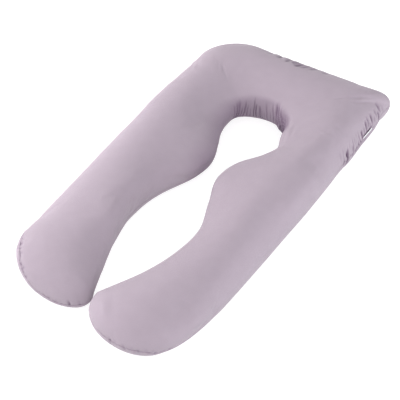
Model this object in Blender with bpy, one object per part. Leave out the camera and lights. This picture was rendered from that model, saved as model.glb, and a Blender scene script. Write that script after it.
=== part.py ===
"""A U-shaped body pillow lying on its back, and the short length of zip that shows in its side seam.

Metres, +Z up. +X runs across the pillow and +Y from the leg ends to the head end. The origin is on
the surface that the pillow lies on, under the middle of its box. Below, a station is a distance along
the pillow, measured from the end of the longer leg, and x is measured from the legs' centre line.
"""

import math
from collections import namedtuple

import bmesh
import bpy
import numpy as np

# Overall sizes of the stuffed cover
HEAD_STATION = 1.315  # the middle of the head edge
HEAD_SLANT = 0.017  # the head edge reaches this much further at its +X corner, and less at its -X corner
HALF_WIDTH = 0.325  # to the side seam, at the head
SIDE_BOW = 0.006  # the long sides swell out by this much at mid length
CROWN_HEIGHT = 0.148
SEAM_HEIGHT = 0.072  # of the seam that joins the top and the bottom panel
UNDERSIDE_SAG = 0.092  # how far the lower panel would hang below the seam, if nothing held it up
ROLL = 0.128  # the cloth rises from the seam to the crown over this distance
LEG_END_ROLL = 0.090  # and over this one at a leg's tip

# The neck opening's head side, half of a superellipse
NECK_STATION = 0.990
NECK_SHIFT = 0.002
NECK_HALF_WIDTH = 0.096
NECK_DEPTH = 0.066
NECK_POWER = 2.1

# A leg's rounded end: two quarters of a superellipse that meet at the tip
Leg = namedtuple("Leg", "side tip_x tip_station outer_shoulder inner_shoulder shoulder_gap")
LEFT_LEG = Leg(-1, 0.151, 0.040, outer_shoulder=0.232, inner_shoulder=0.108, shoulder_gap=0.009)
RIGHT_LEG = Leg(1, 0.153, 0.000, outer_shoulder=0.240, inner_shoulder=0.105, shoulder_gap=0.003)
LEG_END_POWER = 2.2
LEFT_CORNER_RADIUS = 0.138
RIGHT_CORNER_RADIUS = 0.045

# Distance from the centre line to each leg's inner seam
Gap = namedtuple("Gap", "station left right")
GAPS = (
    Gap(0.235, 0.058, 0.071),
    Gap(0.360, 0.098, 0.108),
    Gap(0.480, 0.116, 0.113),
    Gap(0.600, 0.090, 0.071),
    Gap(0.710, 0.041, 0.035),
    Gap(0.780, 0.027, 0.049),
    Gap(0.850, 0.052, 0.094),
    Gap(0.905, 0.082, 0.116),
)

# How square a section's inner shoulders are, where 2 is round. Round the neck the cloth is pulled upright.
Fullness = namedtuple("Fullness", "degrees inner")
PLAIN_FULLNESS = 2.1
NECK_FULLNESS = (
    Fullness(0, 2.1),
    Fullness(30, 2.5),
    Fullness(60, 2.7),
    Fullness(120, 2.7),
    Fullness(150, 2.5),
    Fullness(180, 2.1),
)

# A section's points, as angles from its inner seam, over the top and back below
TOP_DEGREES = (0, 5, 15, 30, 47, 64, 78, 90, 102, 116, 133, 150, 165, 175, 180)
UNDERSIDE_DEGREES = (172, 160, 143, 125, 55, 37, 20, 8)
SEAM_DRAW = 0.004  # the stitches hold the seam in by this much between its two lips

# Sections along the pillow
END_SECTIONS = 9
LEG_SECTIONS = 22
Stretch = namedtuple("Stretch", "to_degrees sections")
HEAD_STRETCHES = (Stretch(42, 64), Stretch(2, 36), Stretch(0, 1))

# Folds that start at the seam: gathers round the neck opening and puckers on the outside. Each fades
# out over these angles of the section above and below the seam.
Gather = namedtuple("Gather", "degrees depth half_width above below")
NECK_GATHERS = (
    Gather(176, 0.0020, 0.0045, 45, 30),
    Gather(165, 0.0035, 0.0040, 55, 30),
    Gather(153, 0.0025, 0.0045, 50, 35),
    Gather(143, 0.0030, 0.0040, 60, 30),
    Gather(132, 0.0015, 0.0050, 40, 30),
    Gather(122, 0.0045, 0.0045, 70, 40),
    Gather(108, 0.0035, 0.0045, 45, 35),
    Gather(97, 0.0020, 0.0050, 60, 30),
    Gather(82, 0.0025, 0.0045, 60, 35),
    Gather(69, 0.0035, 0.0040, 60, 30),
    Gather(60, 0.0030, 0.0040, 60, 35),
    Gather(48, 0.0050, 0.0045, 65, 40),
    Gather(35, 0.0035, 0.0040, 55, 30),
    Gather(20, 0.0020, 0.0050, 45, 30),
)
Pucker = namedtuple("Pucker", "x station depth half_width above below")
SIDE_PUCKERS = (
    Pucker(0.325, 0.991, 0.003, 0.008, 15, 40),
    Pucker(0.325, 1.015, 0.009, 0.009, 40, 40),
    Pucker(0.325, 1.042, 0.003, 0.008, 30, 30),
    Pucker(0.325, 1.070, 0.004, 0.008, 20, 40),
    Pucker(0.325, 1.108, 0.005, 0.009, 40, 30),
    Pucker(0.325, 1.144, 0.004, 0.009, 50, 20),
    Pucker(0.325, 1.177, 0.005, 0.008, 50, 20),
    Pucker(0.325, 1.203, 0.003, 0.007, 35, 25),
    Pucker(0.325, 1.230, 0.008, 0.009, 50, 35),
    Pucker(0.325, 1.254, 0.003, 0.008, 40, 30),
)
HEAD_PUCKERS = (
    Pucker(-0.085, 1.311, 0.005, 0.014, 75, 35),
    Pucker(-0.045, 1.313, 0.003, 0.012, 60, 30),
    Pucker(-0.012, 1.315, 0.007, 0.013, 75, 35),
    Pucker(0.075, 1.319, 0.003, 0.016, 55, 30),
)
LEG_END_PUCKERS = (
    Pucker(-0.285, 0.115, 0.005, 0.012, 50, 35),
    Pucker(-0.250, 0.076, 0.004, 0.010, 45, 35),
    Pucker(-0.200, 0.048, 0.004, 0.010, 35, 30),
    Pucker(0.122, 0.001, 0.003, 0.010, 20, 45),
    Pucker(0.175, 0.001, 0.003, 0.010, 20, 45),
    Pucker(0.254, 0.038, 0.004, 0.010, 20, 45),
    Pucker(0.286, 0.076, 0.003, 0.010, 30, 35),
)

# The length of zip that shows between the side seam's lips
ZIP_START_STATION = 1.118
ZIP_LENGTH = 0.060
ZIP_HEIGHT = 0.006
ZIP_THICKNESS = 0.0025
ZIP_ABOVE_SEAM = 0.0015
ZIP_SUNK = 0.0005  # of the zip's outer face below the cloth's lips
CLEARANCE = 0.0003

CLOTH_COLOUR = (0.47, 0.39, 0.47, 1.0)
ZIP_COLOUR = (0.86, 0.86, 0.86, 1.0)


def superellipse(fraction, power):
    """Height of a unit superellipse at this fraction of its half width."""
    return (1 - np.clip(np.abs(fraction), 0, 1) ** power) ** (1 / power)


def curve_through(x, y, where):
    """A cubic curve through the points (x, y), read at each x of where. It leaves its last point level."""
    x, y = np.asarray(x, float), np.asarray(y, float)
    slope = np.gradient(y, x)
    slope[-1] = 0.0
    i = np.clip(np.searchsorted(x, where) - 1, 0, len(x) - 2)
    step = x[i + 1] - x[i]
    t = np.clip((where - x[i]) / step, 0, 1)
    from_left = y[i] * (1 + 2 * t) + slope[i] * step * t
    from_right = y[i + 1] * (3 - 2 * t) - slope[i + 1] * step * (1 - t)
    return from_left * (1 - t) ** 2 + from_right * t**2


def leg_seams(leg):
    """The inner and the outer seam of a leg, as (x, station) rows from its tip to the neck."""
    shoulder = max(leg.outer_shoulder, leg.inner_shoulder)
    rise = 1 - np.cos(np.linspace(0, math.pi / 2, END_SECTIONS + 1))
    end = leg.tip_station + (shoulder - leg.tip_station) * rise
    station = np.concatenate([end, np.linspace(shoulder, NECK_STATION, LEG_SECTIONS + 1)[1:]])

    def rounded(side_x, at_shoulder, shoulder):
        before = (shoulder - station) / (shoulder - leg.tip_station)
        end_x = leg.tip_x + (at_shoulder - leg.tip_x) * superellipse(before, LEG_END_POWER)
        return np.where(station < shoulder, end_x, side_x)

    along = np.clip((station - leg.outer_shoulder) / (NECK_STATION - leg.outer_shoulder), 0, 1)
    outer = rounded(HALF_WIDTH + SIDE_BOW * np.sin(math.pi * along), HALF_WIDTH, leg.outer_shoulder)

    knots = [leg.inner_shoulder] + [gap.station for gap in GAPS] + [NECK_STATION]
    gaps = [gap.left if leg.side < 0 else gap.right for gap in GAPS]
    gaps = [leg.shoulder_gap] + gaps + [NECK_HALF_WIDTH + leg.side * NECK_SHIFT]
    inner = rounded(curve_through(knots, gaps, station), leg.shoulder_gap, leg.inner_shoulder)
    return np.stack([leg.side * inner, station], 1), np.stack([leg.side * outer, station], 1)


def neck_point(angle):
    """(x, station) on the neck opening's seam, at this angle from +X."""
    across, along = math.cos(angle), math.sin(angle)
    radius = (abs(across) ** NECK_POWER + along**NECK_POWER) ** (-1 / NECK_POWER)
    return NECK_SHIFT + NECK_HALF_WIDTH * radius * across, NECK_STATION + NECK_DEPTH * radius * along


def head_point(angle):
    """(x, station) on the head's outer seam, a slanted rectangle with rounded corners."""
    corner = RIGHT_CORNER_RADIUS if angle < math.pi / 2 else LEFT_CORNER_RADIUS
    across, along = abs(math.cos(angle)), math.sin(angle)
    height = HEAD_STATION - NECK_STATION
    if along * HALF_WIDTH <= across * (height - corner):
        length = HALF_WIDTH / across
    elif across * height <= along * (HALF_WIDTH - corner):
        length = height / along
    else:
        to_centre = across * (HALF_WIDTH - corner) + along * (height - corner)
        centre_squared = (HALF_WIDTH - corner) ** 2 + (height - corner) ** 2
        length = to_centre + math.sqrt(to_centre**2 - centre_squared + corner**2)
    x, rise = length * math.cos(angle), length * along
    return x, NECK_STATION + rise + HEAD_SLANT * (x / HALF_WIDTH) * (rise / height)


def head_angles():
    """The angles of the head's sections round the neck, from the left leg to the right one."""
    angles = [180.0]
    for stretch in HEAD_STRETCHES:
        angles.extend(np.linspace(angles[-1], stretch.to_degrees, stretch.sections + 1)[1:])
    return angles[1:-1]


def section_rows():
    """The inner seams, outer seams, distances from the leg tip and inner fullness of all sections."""
    left_inner, left_outer = leg_seams(LEFT_LEG)
    right_inner, right_outer = leg_seams(RIGHT_LEG)
    degrees = head_angles()
    angles = [math.radians(row) for row in degrees]
    inner = np.concatenate([left_inner, [neck_point(angle) for angle in angles], right_inner[::-1]])
    outer = np.concatenate([left_outer, [head_point(angle) for angle in angles], right_outer[::-1]])

    past_the_ends = np.full(len(angles), LEG_END_ROLL)
    from_left_tip = left_inner[:, 1] - LEFT_LEG.tip_station
    from_right_tip = right_inner[::-1, 1] - RIGHT_LEG.tip_station
    from_tip = np.concatenate([from_left_tip, past_the_ends, from_right_tip])

    knots = [row.degrees for row in NECK_FULLNESS]
    neck = np.interp(degrees, knots, [row.inner for row in NECK_FULLNESS])
    leg = np.full(len(left_inner), PLAIN_FULLNESS)
    return inner, outer, from_tip, np.concatenate([leg, neck, leg])


def fold_depth(folds, seam, from_seam, underside):
    """How far the folds press each section in, at these angles from its seam."""
    depth = np.zeros((len(seam), len(from_seam)))
    for fold in folds:
        distance = np.hypot(seam[:, 0] - fold.x, seam[:, 1] - fold.station)
        across = np.exp(-((distance / fold.half_width) ** 2))
        fade = np.clip(1 - from_seam / (fold.below if underside else fold.above), 0, 1)
        depth += fold.depth * np.outer(across, fade * (2 - fade))
    return depth


def ring_points(sections, degrees, underside, folds):
    """Points (section, angle, 3) of the top or of the underside of every section."""
    inner, outer, from_tip, inner_fullness = sections
    degrees = np.array(degrees)
    rise = np.sin(np.radians(degrees))
    beyond = degrees > 90
    from_seam = np.where(beyond, 180 - degrees, degrees)
    width = np.linalg.norm(outer - inner, axis=1)[:, None]

    power = np.where(beyond, PLAIN_FULLNESS, inner_fullness[:, None])
    from_edge = np.minimum(width / 2, ROLL) * (1 - superellipse(rise, power))
    from_edge = np.where(degrees == 90, width / 2, from_edge)
    at_seam = from_seam == 0
    inner_folds = fold_depth(folds, inner, from_seam, underside)
    outer_folds = fold_depth(folds, outer, from_seam, underside)
    pressed = np.where(at_seam, SEAM_DRAW, np.where(beyond, outer_folds, inner_folds))
    from_edge = np.minimum(from_edge + pressed, width / 2)

    share = (from_edge / width)[..., None]
    near, far = (row[:, None] for row in (inner, outer))
    plan = np.where(beyond[:, None], far + (near - far) * share, near + (far - near) * share)
    lift = np.minimum(from_tip, LEG_END_ROLL) / LEG_END_ROLL
    lift = superellipse(1 - lift, 2)[:, None] * rise
    if underside:
        height = np.maximum(0, SEAM_HEIGHT - UNDERSIDE_SAG * lift)
    else:
        height = SEAM_HEIGHT + (CROWN_HEIGHT - SEAM_HEIGHT) * lift
    return np.concatenate([plan, height[..., None]], 2)


def pillow_points():
    """The rings of all sections between the two leg tips, and the tips themselves."""
    inner, outer, from_tip, fullness = section_rows()
    sections = [row[1:-1] for row in (inner, outer, from_tip, fullness)]
    gathers = [Pucker(*neck_point(math.radians(row.degrees)), *row[1:]) for row in NECK_GATHERS]
    folds = gathers + list(SIDE_PUCKERS + HEAD_PUCKERS + LEG_END_PUCKERS)
    top = ring_points(sections, TOP_DEGREES, False, folds)
    below = ring_points(sections, UNDERSIDE_DEGREES, True, folds)
    rings = np.concatenate([top, below], 1)
    tips = [(*row, SEAM_HEIGHT) for row in (inner[0], inner[-1])]
    return rings, tips


def box_middle(rings):
    """The offset from the frame of stations to the part's origin."""
    low, high = rings.reshape(-1, 3).min(0), rings.reshape(-1, 3).max(0)
    return np.array([(low[0] + high[0]) / 2, high[1] / 2, 0.0])


def material(name, colour, roughness):
    made = bpy.data.materials.new(name)
    made.use_nodes = True
    shader = made.node_tree.nodes["Principled BSDF"]
    shader.inputs["Base Color"].default_value = colour
    shader.inputs["Roughness"].default_value = roughness
    shader.inputs["Metallic"].default_value = 0.0
    return made


def add_object(name, mesh, finish):
    made = bpy.data.objects.new(name, mesh)
    bpy.context.scene.collection.objects.link(made)
    if finish:
        mesh.materials.append(finish)
    return made


def pillow_mesh(rings, tips, offset):
    """One closed skin: quads between neighbouring rings, and a fan of triangles at each leg tip."""
    mesh = bpy.data.meshes.new("pillow")
    shape = bmesh.new()
    rows = [[shape.verts.new(point - offset) for point in ring] for ring in rings]
    size = len(rows[0])
    for row, following in zip(rows, rows[1:]):
        for j in range(size):
            k = (j + 1) % size
            shape.faces.new((row[j], following[j], following[k], row[k]))
    for row, tip in ((rows[0], tips[0]), (rows[-1], tips[1])):
        point = shape.verts.new(np.array(tip) - offset)
        for j in range(size):
            shape.faces.new((row[j], row[(j + 1) % size], point))
    bmesh.ops.recalc_face_normals(shape, faces=shape.faces)
    shape.to_mesh(mesh)
    shape.free()
    mesh.shade_smooth()
    return mesh


def box_object(name, low, high, finish=None):
    shape = bmesh.new()
    bmesh.ops.create_cube(shape, size=1.0)
    low, high = np.array(low), np.array(high)
    for vertex in shape.verts:
        vertex.co = np.array(vertex.co) * (high - low)
    mesh = bpy.data.meshes.new(name)
    shape.to_mesh(mesh)
    shape.free()
    made = add_object(name, mesh, finish)
    made.location = (low + high) / 2
    return made


def build_pillow(offset, rings, tips):
    return add_object("pillow", pillow_mesh(rings, tips, offset), material("cloth", CLOTH_COLOUR, 0.8))


def build_zip(pillow, offset):
    """The zip's tape lies in a pocket cut in the side seam, clear of the cloth all round."""
    face_x = HALF_WIDTH - ZIP_SUNK - offset[0]
    start = ZIP_START_STATION - offset[1]
    bottom = SEAM_HEIGHT + ZIP_ABOVE_SEAM - ZIP_HEIGHT / 2
    low = np.array([face_x - ZIP_THICKNESS, start, bottom])
    high = np.array([face_x, start + ZIP_LENGTH, bottom + ZIP_HEIGHT])
    tape = box_object("zip", low, high, material("zip", ZIP_COLOUR, 0.6))

    past_lips = np.array([ZIP_SUNK + SEAM_DRAW, 0.0, 0.0])
    cutter = box_object("zip_pocket", low - CLEARANCE, high + CLEARANCE + past_lips)
    cutter.hide_render = True
    cutter.display_type = "WIRE"
    pocket = pillow.modifiers.new("pocket", "BOOLEAN")
    pocket.operation = "DIFFERENCE"
    pocket.object = cutter
    return tape


def main():
    for old in list(bpy.data.objects):
        bpy.data.objects.remove(old)
    rings, tips = pillow_points()
    offset = box_middle(rings)
    pillow = build_pillow(offset, rings, tips)
    build_zip(pillow, offset)


main()
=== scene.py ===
# %% [markdown]
# # A U-shaped body pillow
#
# The real thing is one soft cover, cut from two U-shaped panels of fine knitted cloth, sewn together
# all round and blown up hard with loose filling. What makes it look real is not the outline alone but
# what the seam does to the cloth: it pulls a narrow groove, it gathers the tight curve round the neck,
# and it puckers wherever a corner had to be eased in.
#
# The solids of the model are the frame. Everything below is made in the same metres and the same place,
# so nothing has to be fitted afterwards.

# %% Load the solids as a fixed frame
import math
from collections import namedtuple

import bpy
import numpy as np
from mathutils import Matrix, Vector
from mathutils.kdtree import KDTree


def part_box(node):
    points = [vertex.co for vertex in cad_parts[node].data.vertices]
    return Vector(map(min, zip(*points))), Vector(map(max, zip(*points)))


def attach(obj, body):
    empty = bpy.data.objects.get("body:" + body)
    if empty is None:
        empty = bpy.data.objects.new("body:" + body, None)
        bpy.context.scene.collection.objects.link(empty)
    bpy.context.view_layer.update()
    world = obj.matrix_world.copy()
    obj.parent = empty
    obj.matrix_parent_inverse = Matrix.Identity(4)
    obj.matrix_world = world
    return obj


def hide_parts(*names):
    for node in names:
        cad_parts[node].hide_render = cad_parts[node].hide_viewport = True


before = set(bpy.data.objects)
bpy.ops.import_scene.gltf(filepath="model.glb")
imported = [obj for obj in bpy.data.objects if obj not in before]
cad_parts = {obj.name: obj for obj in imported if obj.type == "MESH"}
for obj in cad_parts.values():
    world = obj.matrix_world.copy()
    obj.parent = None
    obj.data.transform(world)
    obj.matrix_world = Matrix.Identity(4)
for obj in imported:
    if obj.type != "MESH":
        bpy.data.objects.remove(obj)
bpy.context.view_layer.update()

# %% [markdown]
# ## Camera, floor and light
#
# A long lens from well back keeps the two legs nearly parallel, as a catalogue picture does. The camera
# is placed by two angles and a distance from a target on the pillow, because those are what one would
# set on a real tripod, and a quaternion that tracks -Z then points it. The floor is a pale sheet that
# glows a little, as a lit studio sweep does, and four softboxes shape the cloth.

# %% Camera
VIEW_AZIMUTH = math.radians(33.11)
VIEW_ELEVATION = math.radians(44.64)
VIEW_DISTANCE = 4.974
VIEW_TARGET = Vector((0.0383, -0.0596, 0.070))
LENS_MM = 146.03
SENSOR_MM = 36.0


def into_scene(name, data):
    """An object at the origin that carries this mesh, curve, lamp or camera."""
    made = bpy.data.objects.new(name, data)
    bpy.context.scene.collection.objects.link(made)
    return made


camera_data = bpy.data.cameras.new("camera")
camera_data.lens = LENS_MM
camera_data.sensor_width = SENSOR_MM
camera = into_scene("camera", camera_data)
back = Vector((
    math.sin(VIEW_AZIMUTH) * math.cos(VIEW_ELEVATION),
    -math.cos(VIEW_AZIMUTH) * math.cos(VIEW_ELEVATION),
    math.sin(VIEW_ELEVATION),
))
camera.location = VIEW_TARGET + VIEW_DISTANCE * back
camera.rotation_euler = back.to_track_quat("Z", "Y").to_euler()
bpy.context.scene.camera = camera
print("camera at", [round(v, 3) for v in camera.location])


# %% Helpers for meshes and finishes
def add_mesh(name, points, faces):
    """A mesh object at the origin, from rows of points and faces."""
    mesh = bpy.data.meshes.new(name)
    mesh.from_pydata([tuple(p) for p in points], [], [tuple(f) for f in faces])
    mesh.update()
    return into_scene(name, mesh)


def new_finish(name):
    """A new material, its node tree and its Principled shader."""
    made = bpy.data.materials.new(name)
    made.use_nodes = True
    return made, made.node_tree, made.node_tree.nodes["Principled BSDF"]


def fill_inputs(tree, node, **inputs):
    """Gives each named input its value, or links it to another node's output. Base_Color stands for Base Color."""
    for label, value in inputs.items():
        socket = node.inputs[label.replace("_", " ")]
        if isinstance(value, bpy.types.NodeSocket):
            tree.links.new(value, socket)
        else:
            socket.default_value = value
    return node


def add_node(tree, kind, **inputs):
    """A new node of this kind, with these inputs filled."""
    return fill_inputs(tree, tree.nodes.new(kind), **inputs)


# %% Floor
FLOOR_REACH = 60.0  # far enough that a low view sees no end of it
FLOOR_DROP = 0.0006  # the floor lies just under the cloth, so that the two never share a plane
FLOOR_COLOUR = (0.36, 0.36, 0.363, 1.0)
FLOOR_GLOW = 0.80
FLOOR_GRAIN = 300.0
FLOOR_ROUGHNESS = (0.7, 0.9)
WHITE = (1.0, 1.0, 1.0, 1.0)

corners = ((-1, -1), (1, -1), (1, 1), (-1, 1))
floor = add_mesh("floor", [(FLOOR_REACH * x, FLOOR_REACH * y, -FLOOR_DROP) for x, y in corners], [(0, 1, 2, 3)])
floor_finish, tree, shader = new_finish("floor_white")
place = add_node(tree, "ShaderNodeTexCoord")
grain = add_node(tree, "ShaderNodeTexNoise", Scale=FLOOR_GRAIN, Vector=place.outputs["Object"])
least, most = FLOOR_ROUGHNESS
rough = add_node(tree, "ShaderNodeMapRange", Value=grain.outputs["Fac"], To_Min=least, To_Max=most)
fill_inputs(
    tree, shader,
    Base_Color=FLOOR_COLOUR, Roughness=rough.outputs["Result"], Emission_Color=WHITE, Emission_Strength=FLOOR_GLOW,
)
floor.data.materials.append(floor_finish)
print("floor", [2 * FLOOR_REACH] * 2, "m")

# %% Light
SKY_STRENGTH = 0.3
SOFTBOX_DISTANCE = 3.6
SOFTBOX_HEIGHT = 3.0

world = bpy.data.worlds.new("studio")
bpy.context.scene.world = world
world.use_nodes = True
fill_inputs(world.node_tree, world.node_tree.nodes["Background"], Color=WHITE, Strength=SKY_STRENGTH)
bpy.context.scene.view_settings.view_transform = "Standard"


def softbox(name, azimuth, elevation, power, width=3.0, tint=(1.0, 1.0, 1.0)):
    """A softbox that faces the pillow. Azimuth is measured from +X towards +Y, in degrees."""
    a, e = math.radians(azimuth), math.radians(elevation)
    towards = Vector((math.cos(a) * math.cos(e), math.sin(a) * math.cos(e), math.sin(e)))
    data = bpy.data.lights.new(name, "AREA")
    data.shape = "RECTANGLE"
    data.size, data.size_y = width, SOFTBOX_HEIGHT
    data.energy = power
    data.color = tint
    lamp = into_scene(name, data)
    lamp.location = SOFTBOX_DISTANCE * towards
    lamp.rotation_euler = towards.to_track_quat("Z", "Y").to_euler()


softbox("left_wall", 188, 18, 274.0, width=5.0, tint=(1.0, 0.985, 0.985))
softbox("overhead", 333, 66, 56.0)
softbox("right_low", 18, 11, 130.0, width=4.0, tint=(0.96, 0.985, 1.0))
softbox("front", 270, 30, 54.0)
print(len(bpy.data.lights), "softboxes of", sum(lamp.energy for lamp in bpy.data.lights), "W in all")

# %% [markdown]
# ## The outline of the cover
#
# Both panels have the same outline: two legs with rounded ends, waists and bulges on the inside, and a
# head with one tight and one wide corner. It could be drawn as one long spline, but a leg, the neck
# opening and the head each follow a simple rule, so a few named sizes and short tables say it all.
# A station is a distance from the end of the longer leg, and `station_to_y` turns it into the frame's y.

# %% Sizes of the outline
STATION_OF_ORIGIN = 0.66456
HALF_WIDTH = 0.325
SIDE_BOW = 0.006
HEAD_STATION = 1.315
HEAD_SLANT = 0.017  # the right corner lies this much further along than the middle of the head's edge
LEFT_CORNER_RADIUS = 0.150
RIGHT_CORNER_RADIUS = 0.037
NECK_STATION = 0.990
NECK_SHIFT = 0.007
NECK_HALF_WIDTH = 0.093
NECK_DEPTH = 0.066
NECK_FLAT = 0.17  # the opening is flattened by this share of its radius,
NECK_FLAT_AT, NECK_FLAT_SPREAD = 51.0, 20.0  # in this direction and about so far to either side, in degrees
LEG_END_POWER = 2.2

Leg = namedtuple("Leg", "side tip_x tip_station outer_shoulder inner_shoulder shoulder_gap")
LEFT_LEG = Leg(-1, 0.151, 0.037, outer_shoulder=0.250, inner_shoulder=0.108, shoulder_gap=0.009)
RIGHT_LEG = Leg(1, 0.153, -0.003, outer_shoulder=0.240, inner_shoulder=0.105, shoulder_gap=0.003)

# Half the gap between the legs: station, left leg, right leg.
GAPS = (
    (0.235, 0.058, 0.071), (0.360, 0.098, 0.108), (0.480, 0.116, 0.113), (0.600, 0.087, 0.071),
    (0.710, 0.036, 0.035), (0.780, 0.027, 0.050), (0.850, 0.050, 0.098), (0.905, 0.075, 0.122),
)

# Where the filling pushes a long side out or lets it sink in: how far, at which station, over what reach.
Bow = namedtuple("Bow", "push station reach")
BOWS = {
    -1: (Bow(0.004, 0.970, 0.150), Bow(-0.005, 0.230, 0.070)),
    1: (Bow(0.005, 1.035, 0.055), Bow(0.003, 0.760, 0.120), Bow(-0.009, 1.255, 0.043)),
}


def station_to_y(station):
    return station - STATION_OF_ORIGIN


print("sides", 2 * HALF_WIDTH, "m apart; neck opening", round(2 * NECK_HALF_WIDTH, 3), "m wide")


# %% Curves that the outline is made of
def superellipse(fraction, power):
    """Height of a unit superellipse at this fraction of its half width."""
    return (1 - np.clip(np.abs(fraction), 0, 1) ** power) ** (1 / power)


def curve_through(x, y, where):
    """A cubic curve through the points (x, y), read at each x of where. It leaves its last point level."""
    x, y = np.asarray(x, float), np.asarray(y, float)
    slope = np.gradient(y, x)
    slope[-1] = 0.0
    i = np.clip(np.searchsorted(x, where) - 1, 0, len(x) - 2)
    step = x[i + 1] - x[i]
    t = np.clip((where - x[i]) / step, 0, 1)
    from_left = y[i] * (1 + 2 * t) + slope[i] * step * t
    from_right = y[i + 1] * (3 - 2 * t) - slope[i + 1] * step * (1 - t)
    return from_left * (1 - t) ** 2 + from_right * t**2


def bowed(side, station):
    """How far the filling pushes this side (-1 left, 1 right) out at this station, beyond a straight line."""
    return sum(bow.push * np.exp(-(((station - bow.station) / bow.reach) ** 2)) for bow in BOWS[side])


print("beside the zip, the right side is pushed out by", round(1000 * float(bowed(1, 1.03)), 1), "mm")


# %% Outline of a leg
def leg_outline(leg, end_rows, side_rows):
    """The inner and the outer seam of a leg, as (x, station) rows from its tip to the neck."""
    shoulder = max(leg.outer_shoulder, leg.inner_shoulder)
    rise = 1 - np.cos(np.linspace(0, math.pi / 2, end_rows + 1))
    end = leg.tip_station + (shoulder - leg.tip_station) * rise
    station = np.concatenate([end, np.linspace(shoulder, NECK_STATION, side_rows + 1)[1:]])

    def rounded(side_x, at_shoulder, shoulder):
        before = (shoulder - station) / (shoulder - leg.tip_station)
        end_x = leg.tip_x + (at_shoulder - leg.tip_x) * superellipse(before, LEG_END_POWER)
        return np.where(station < shoulder, end_x, side_x)

    along = np.clip((station - leg.outer_shoulder) / (NECK_STATION - leg.outer_shoulder), 0, 1)
    side = HALF_WIDTH + SIDE_BOW * np.sin(math.pi * along) + bowed(leg.side, station)
    outer = rounded(side, HALF_WIDTH + bowed(leg.side, leg.outer_shoulder), leg.outer_shoulder)
    stations, left_gaps, right_gaps = zip(*GAPS)
    knots = [leg.inner_shoulder, *stations, NECK_STATION]
    gaps = left_gaps if leg.side < 0 else right_gaps
    gaps = [leg.shoulder_gap, *gaps, NECK_HALF_WIDTH + leg.side * NECK_SHIFT]
    inner = rounded(curve_through(knots, gaps, station), leg.shoulder_gap, leg.inner_shoulder)
    return np.stack([leg.side * inner, station], 1), np.stack([leg.side * outer, station], 1)


for name, leg in (("left", LEFT_LEG), ("right", RIGHT_LEG)):
    inner, outer = leg_outline(leg, 8, 80)
    widths = np.abs(outer - inner)[8:, 0]
    print("the", name, "leg is", widths.min().round(3), "to", widths.max().round(3), "m wide")


# %% Outline of the neck opening and of the head
HEAD_BOW_POWER = 4  # how fast a side's bows fade from the head's corner towards the middle of its edge


def neck_outline(angles):
    """(x, station) rows on the neck opening's seam, at these angles from +X."""
    radius = 1 - NECK_FLAT * np.exp(-(((np.degrees(angles) - NECK_FLAT_AT) / NECK_FLAT_SPREAD) ** 2))
    x = NECK_SHIFT + NECK_HALF_WIDTH * radius * np.cos(angles)
    return np.stack([x, NECK_STATION + NECK_DEPTH * radius * np.sin(angles)], 1)


def head_point(angle):
    """(x, station) on the head's outer seam, a slanted rectangle with rounded corners."""
    side, corner = (1, RIGHT_CORNER_RADIUS) if angle < math.pi / 2 else (-1, LEFT_CORNER_RADIUS)
    across, along = abs(math.cos(angle)), math.sin(angle)
    height = HEAD_STATION - NECK_STATION
    if along * HALF_WIDTH <= across * (height - corner):
        length = HALF_WIDTH / across
    elif across * height <= along * (HALF_WIDTH - corner):
        length = height / along
    else:
        to_centre = across * (HALF_WIDTH - corner) + along * (height - corner)
        centre_squared = (HALF_WIDTH - corner) ** 2 + (height - corner) ** 2
        length = to_centre + math.sqrt(to_centre**2 - centre_squared + corner**2)
    x, rise = length * math.cos(angle), length * along
    x += side * bowed(side, NECK_STATION + rise) * abs(x / HALF_WIDTH) ** HEAD_BOW_POWER
    return x, NECK_STATION + rise + HEAD_SLANT * (x / HALF_WIDTH) * (rise / height)


print("the head's edge crosses the middle at station", round(head_point(math.pi / 2)[1], 3))

# %% [markdown]
# ## The stuffed shape
#
# Across the pillow, the cover is a fat loop: it rises steeply from the seam, rolls over to the crown and
# lies flat where the weight presses it down. Subdividing a coarse cage would round the neck wall away,
# and a remesh would lose the seam, so the cloth is laid out as rings, one across the spine every few
# millimetres. Each ring's points crowd together towards the seam, where all the fine detail is.

# %% How closely the rings are laid
Density = namedtuple("Density", "end_rows side_rows head_rows zip_side_rows top_steps under_steps")
FINE = Density(56, 128, 168, 112, top_steps=(0.0008, 1.25, 0.0056), under_steps=(0.0008, 1.32, 0.0110))
COARSE = Density(26, 62, 70, 44, top_steps=(0.0055, 1.10, 0.0095), under_steps=(0.0060, 1.12, 0.0130))
ZIP_SIDE_DEGREES = 42.0
HALF_PANEL = 0.19  # the steps are planned for this length of cloth and then stretched to each ring's own


def shares(first, growth, most):
    """Places from a seam (0) over the panel to the other seam (1): the steps grow from first to most at the middle."""
    places, step = [0.0], first
    while places[-1] < HALF_PANEL:
        places.append(places[-1] + step)
        step = min(step * growth, most)
    places = np.array(places) / places[-1]
    return np.concatenate([places / 2, 1 - places[-2::-1] / 2])


def head_angles(density):
    """The directions of the head's rings round the neck, in radians, from the left leg to the right one."""
    wide = np.linspace(180.0, ZIP_SIDE_DEGREES, density.head_rows + 1)
    close = np.linspace(ZIP_SIDE_DEGREES, 0.0, density.zip_side_rows + 1)
    return np.radians(np.concatenate([wide[1:], close[1:-1]]))


print(len(shares(*FINE.top_steps)), "points over the top panel,", len(head_angles(FINE)), "rings round the head")

# %% [markdown]
# ## The seam's own path
#
# The seam doesn't stay at one height. Inside the U it runs below the widest line, at the left leg's end
# it rides up, and along the right leg it is tucked under. Short tables of real heights say this: where
# the widest line lies, and how far above or below it the seam is sewn. Each table is read with easing,
# because a straight blend from row to row would show as a kink in the cloth.

# %% Height of the widest line
SEAM_HEIGHT = 0.072
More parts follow.
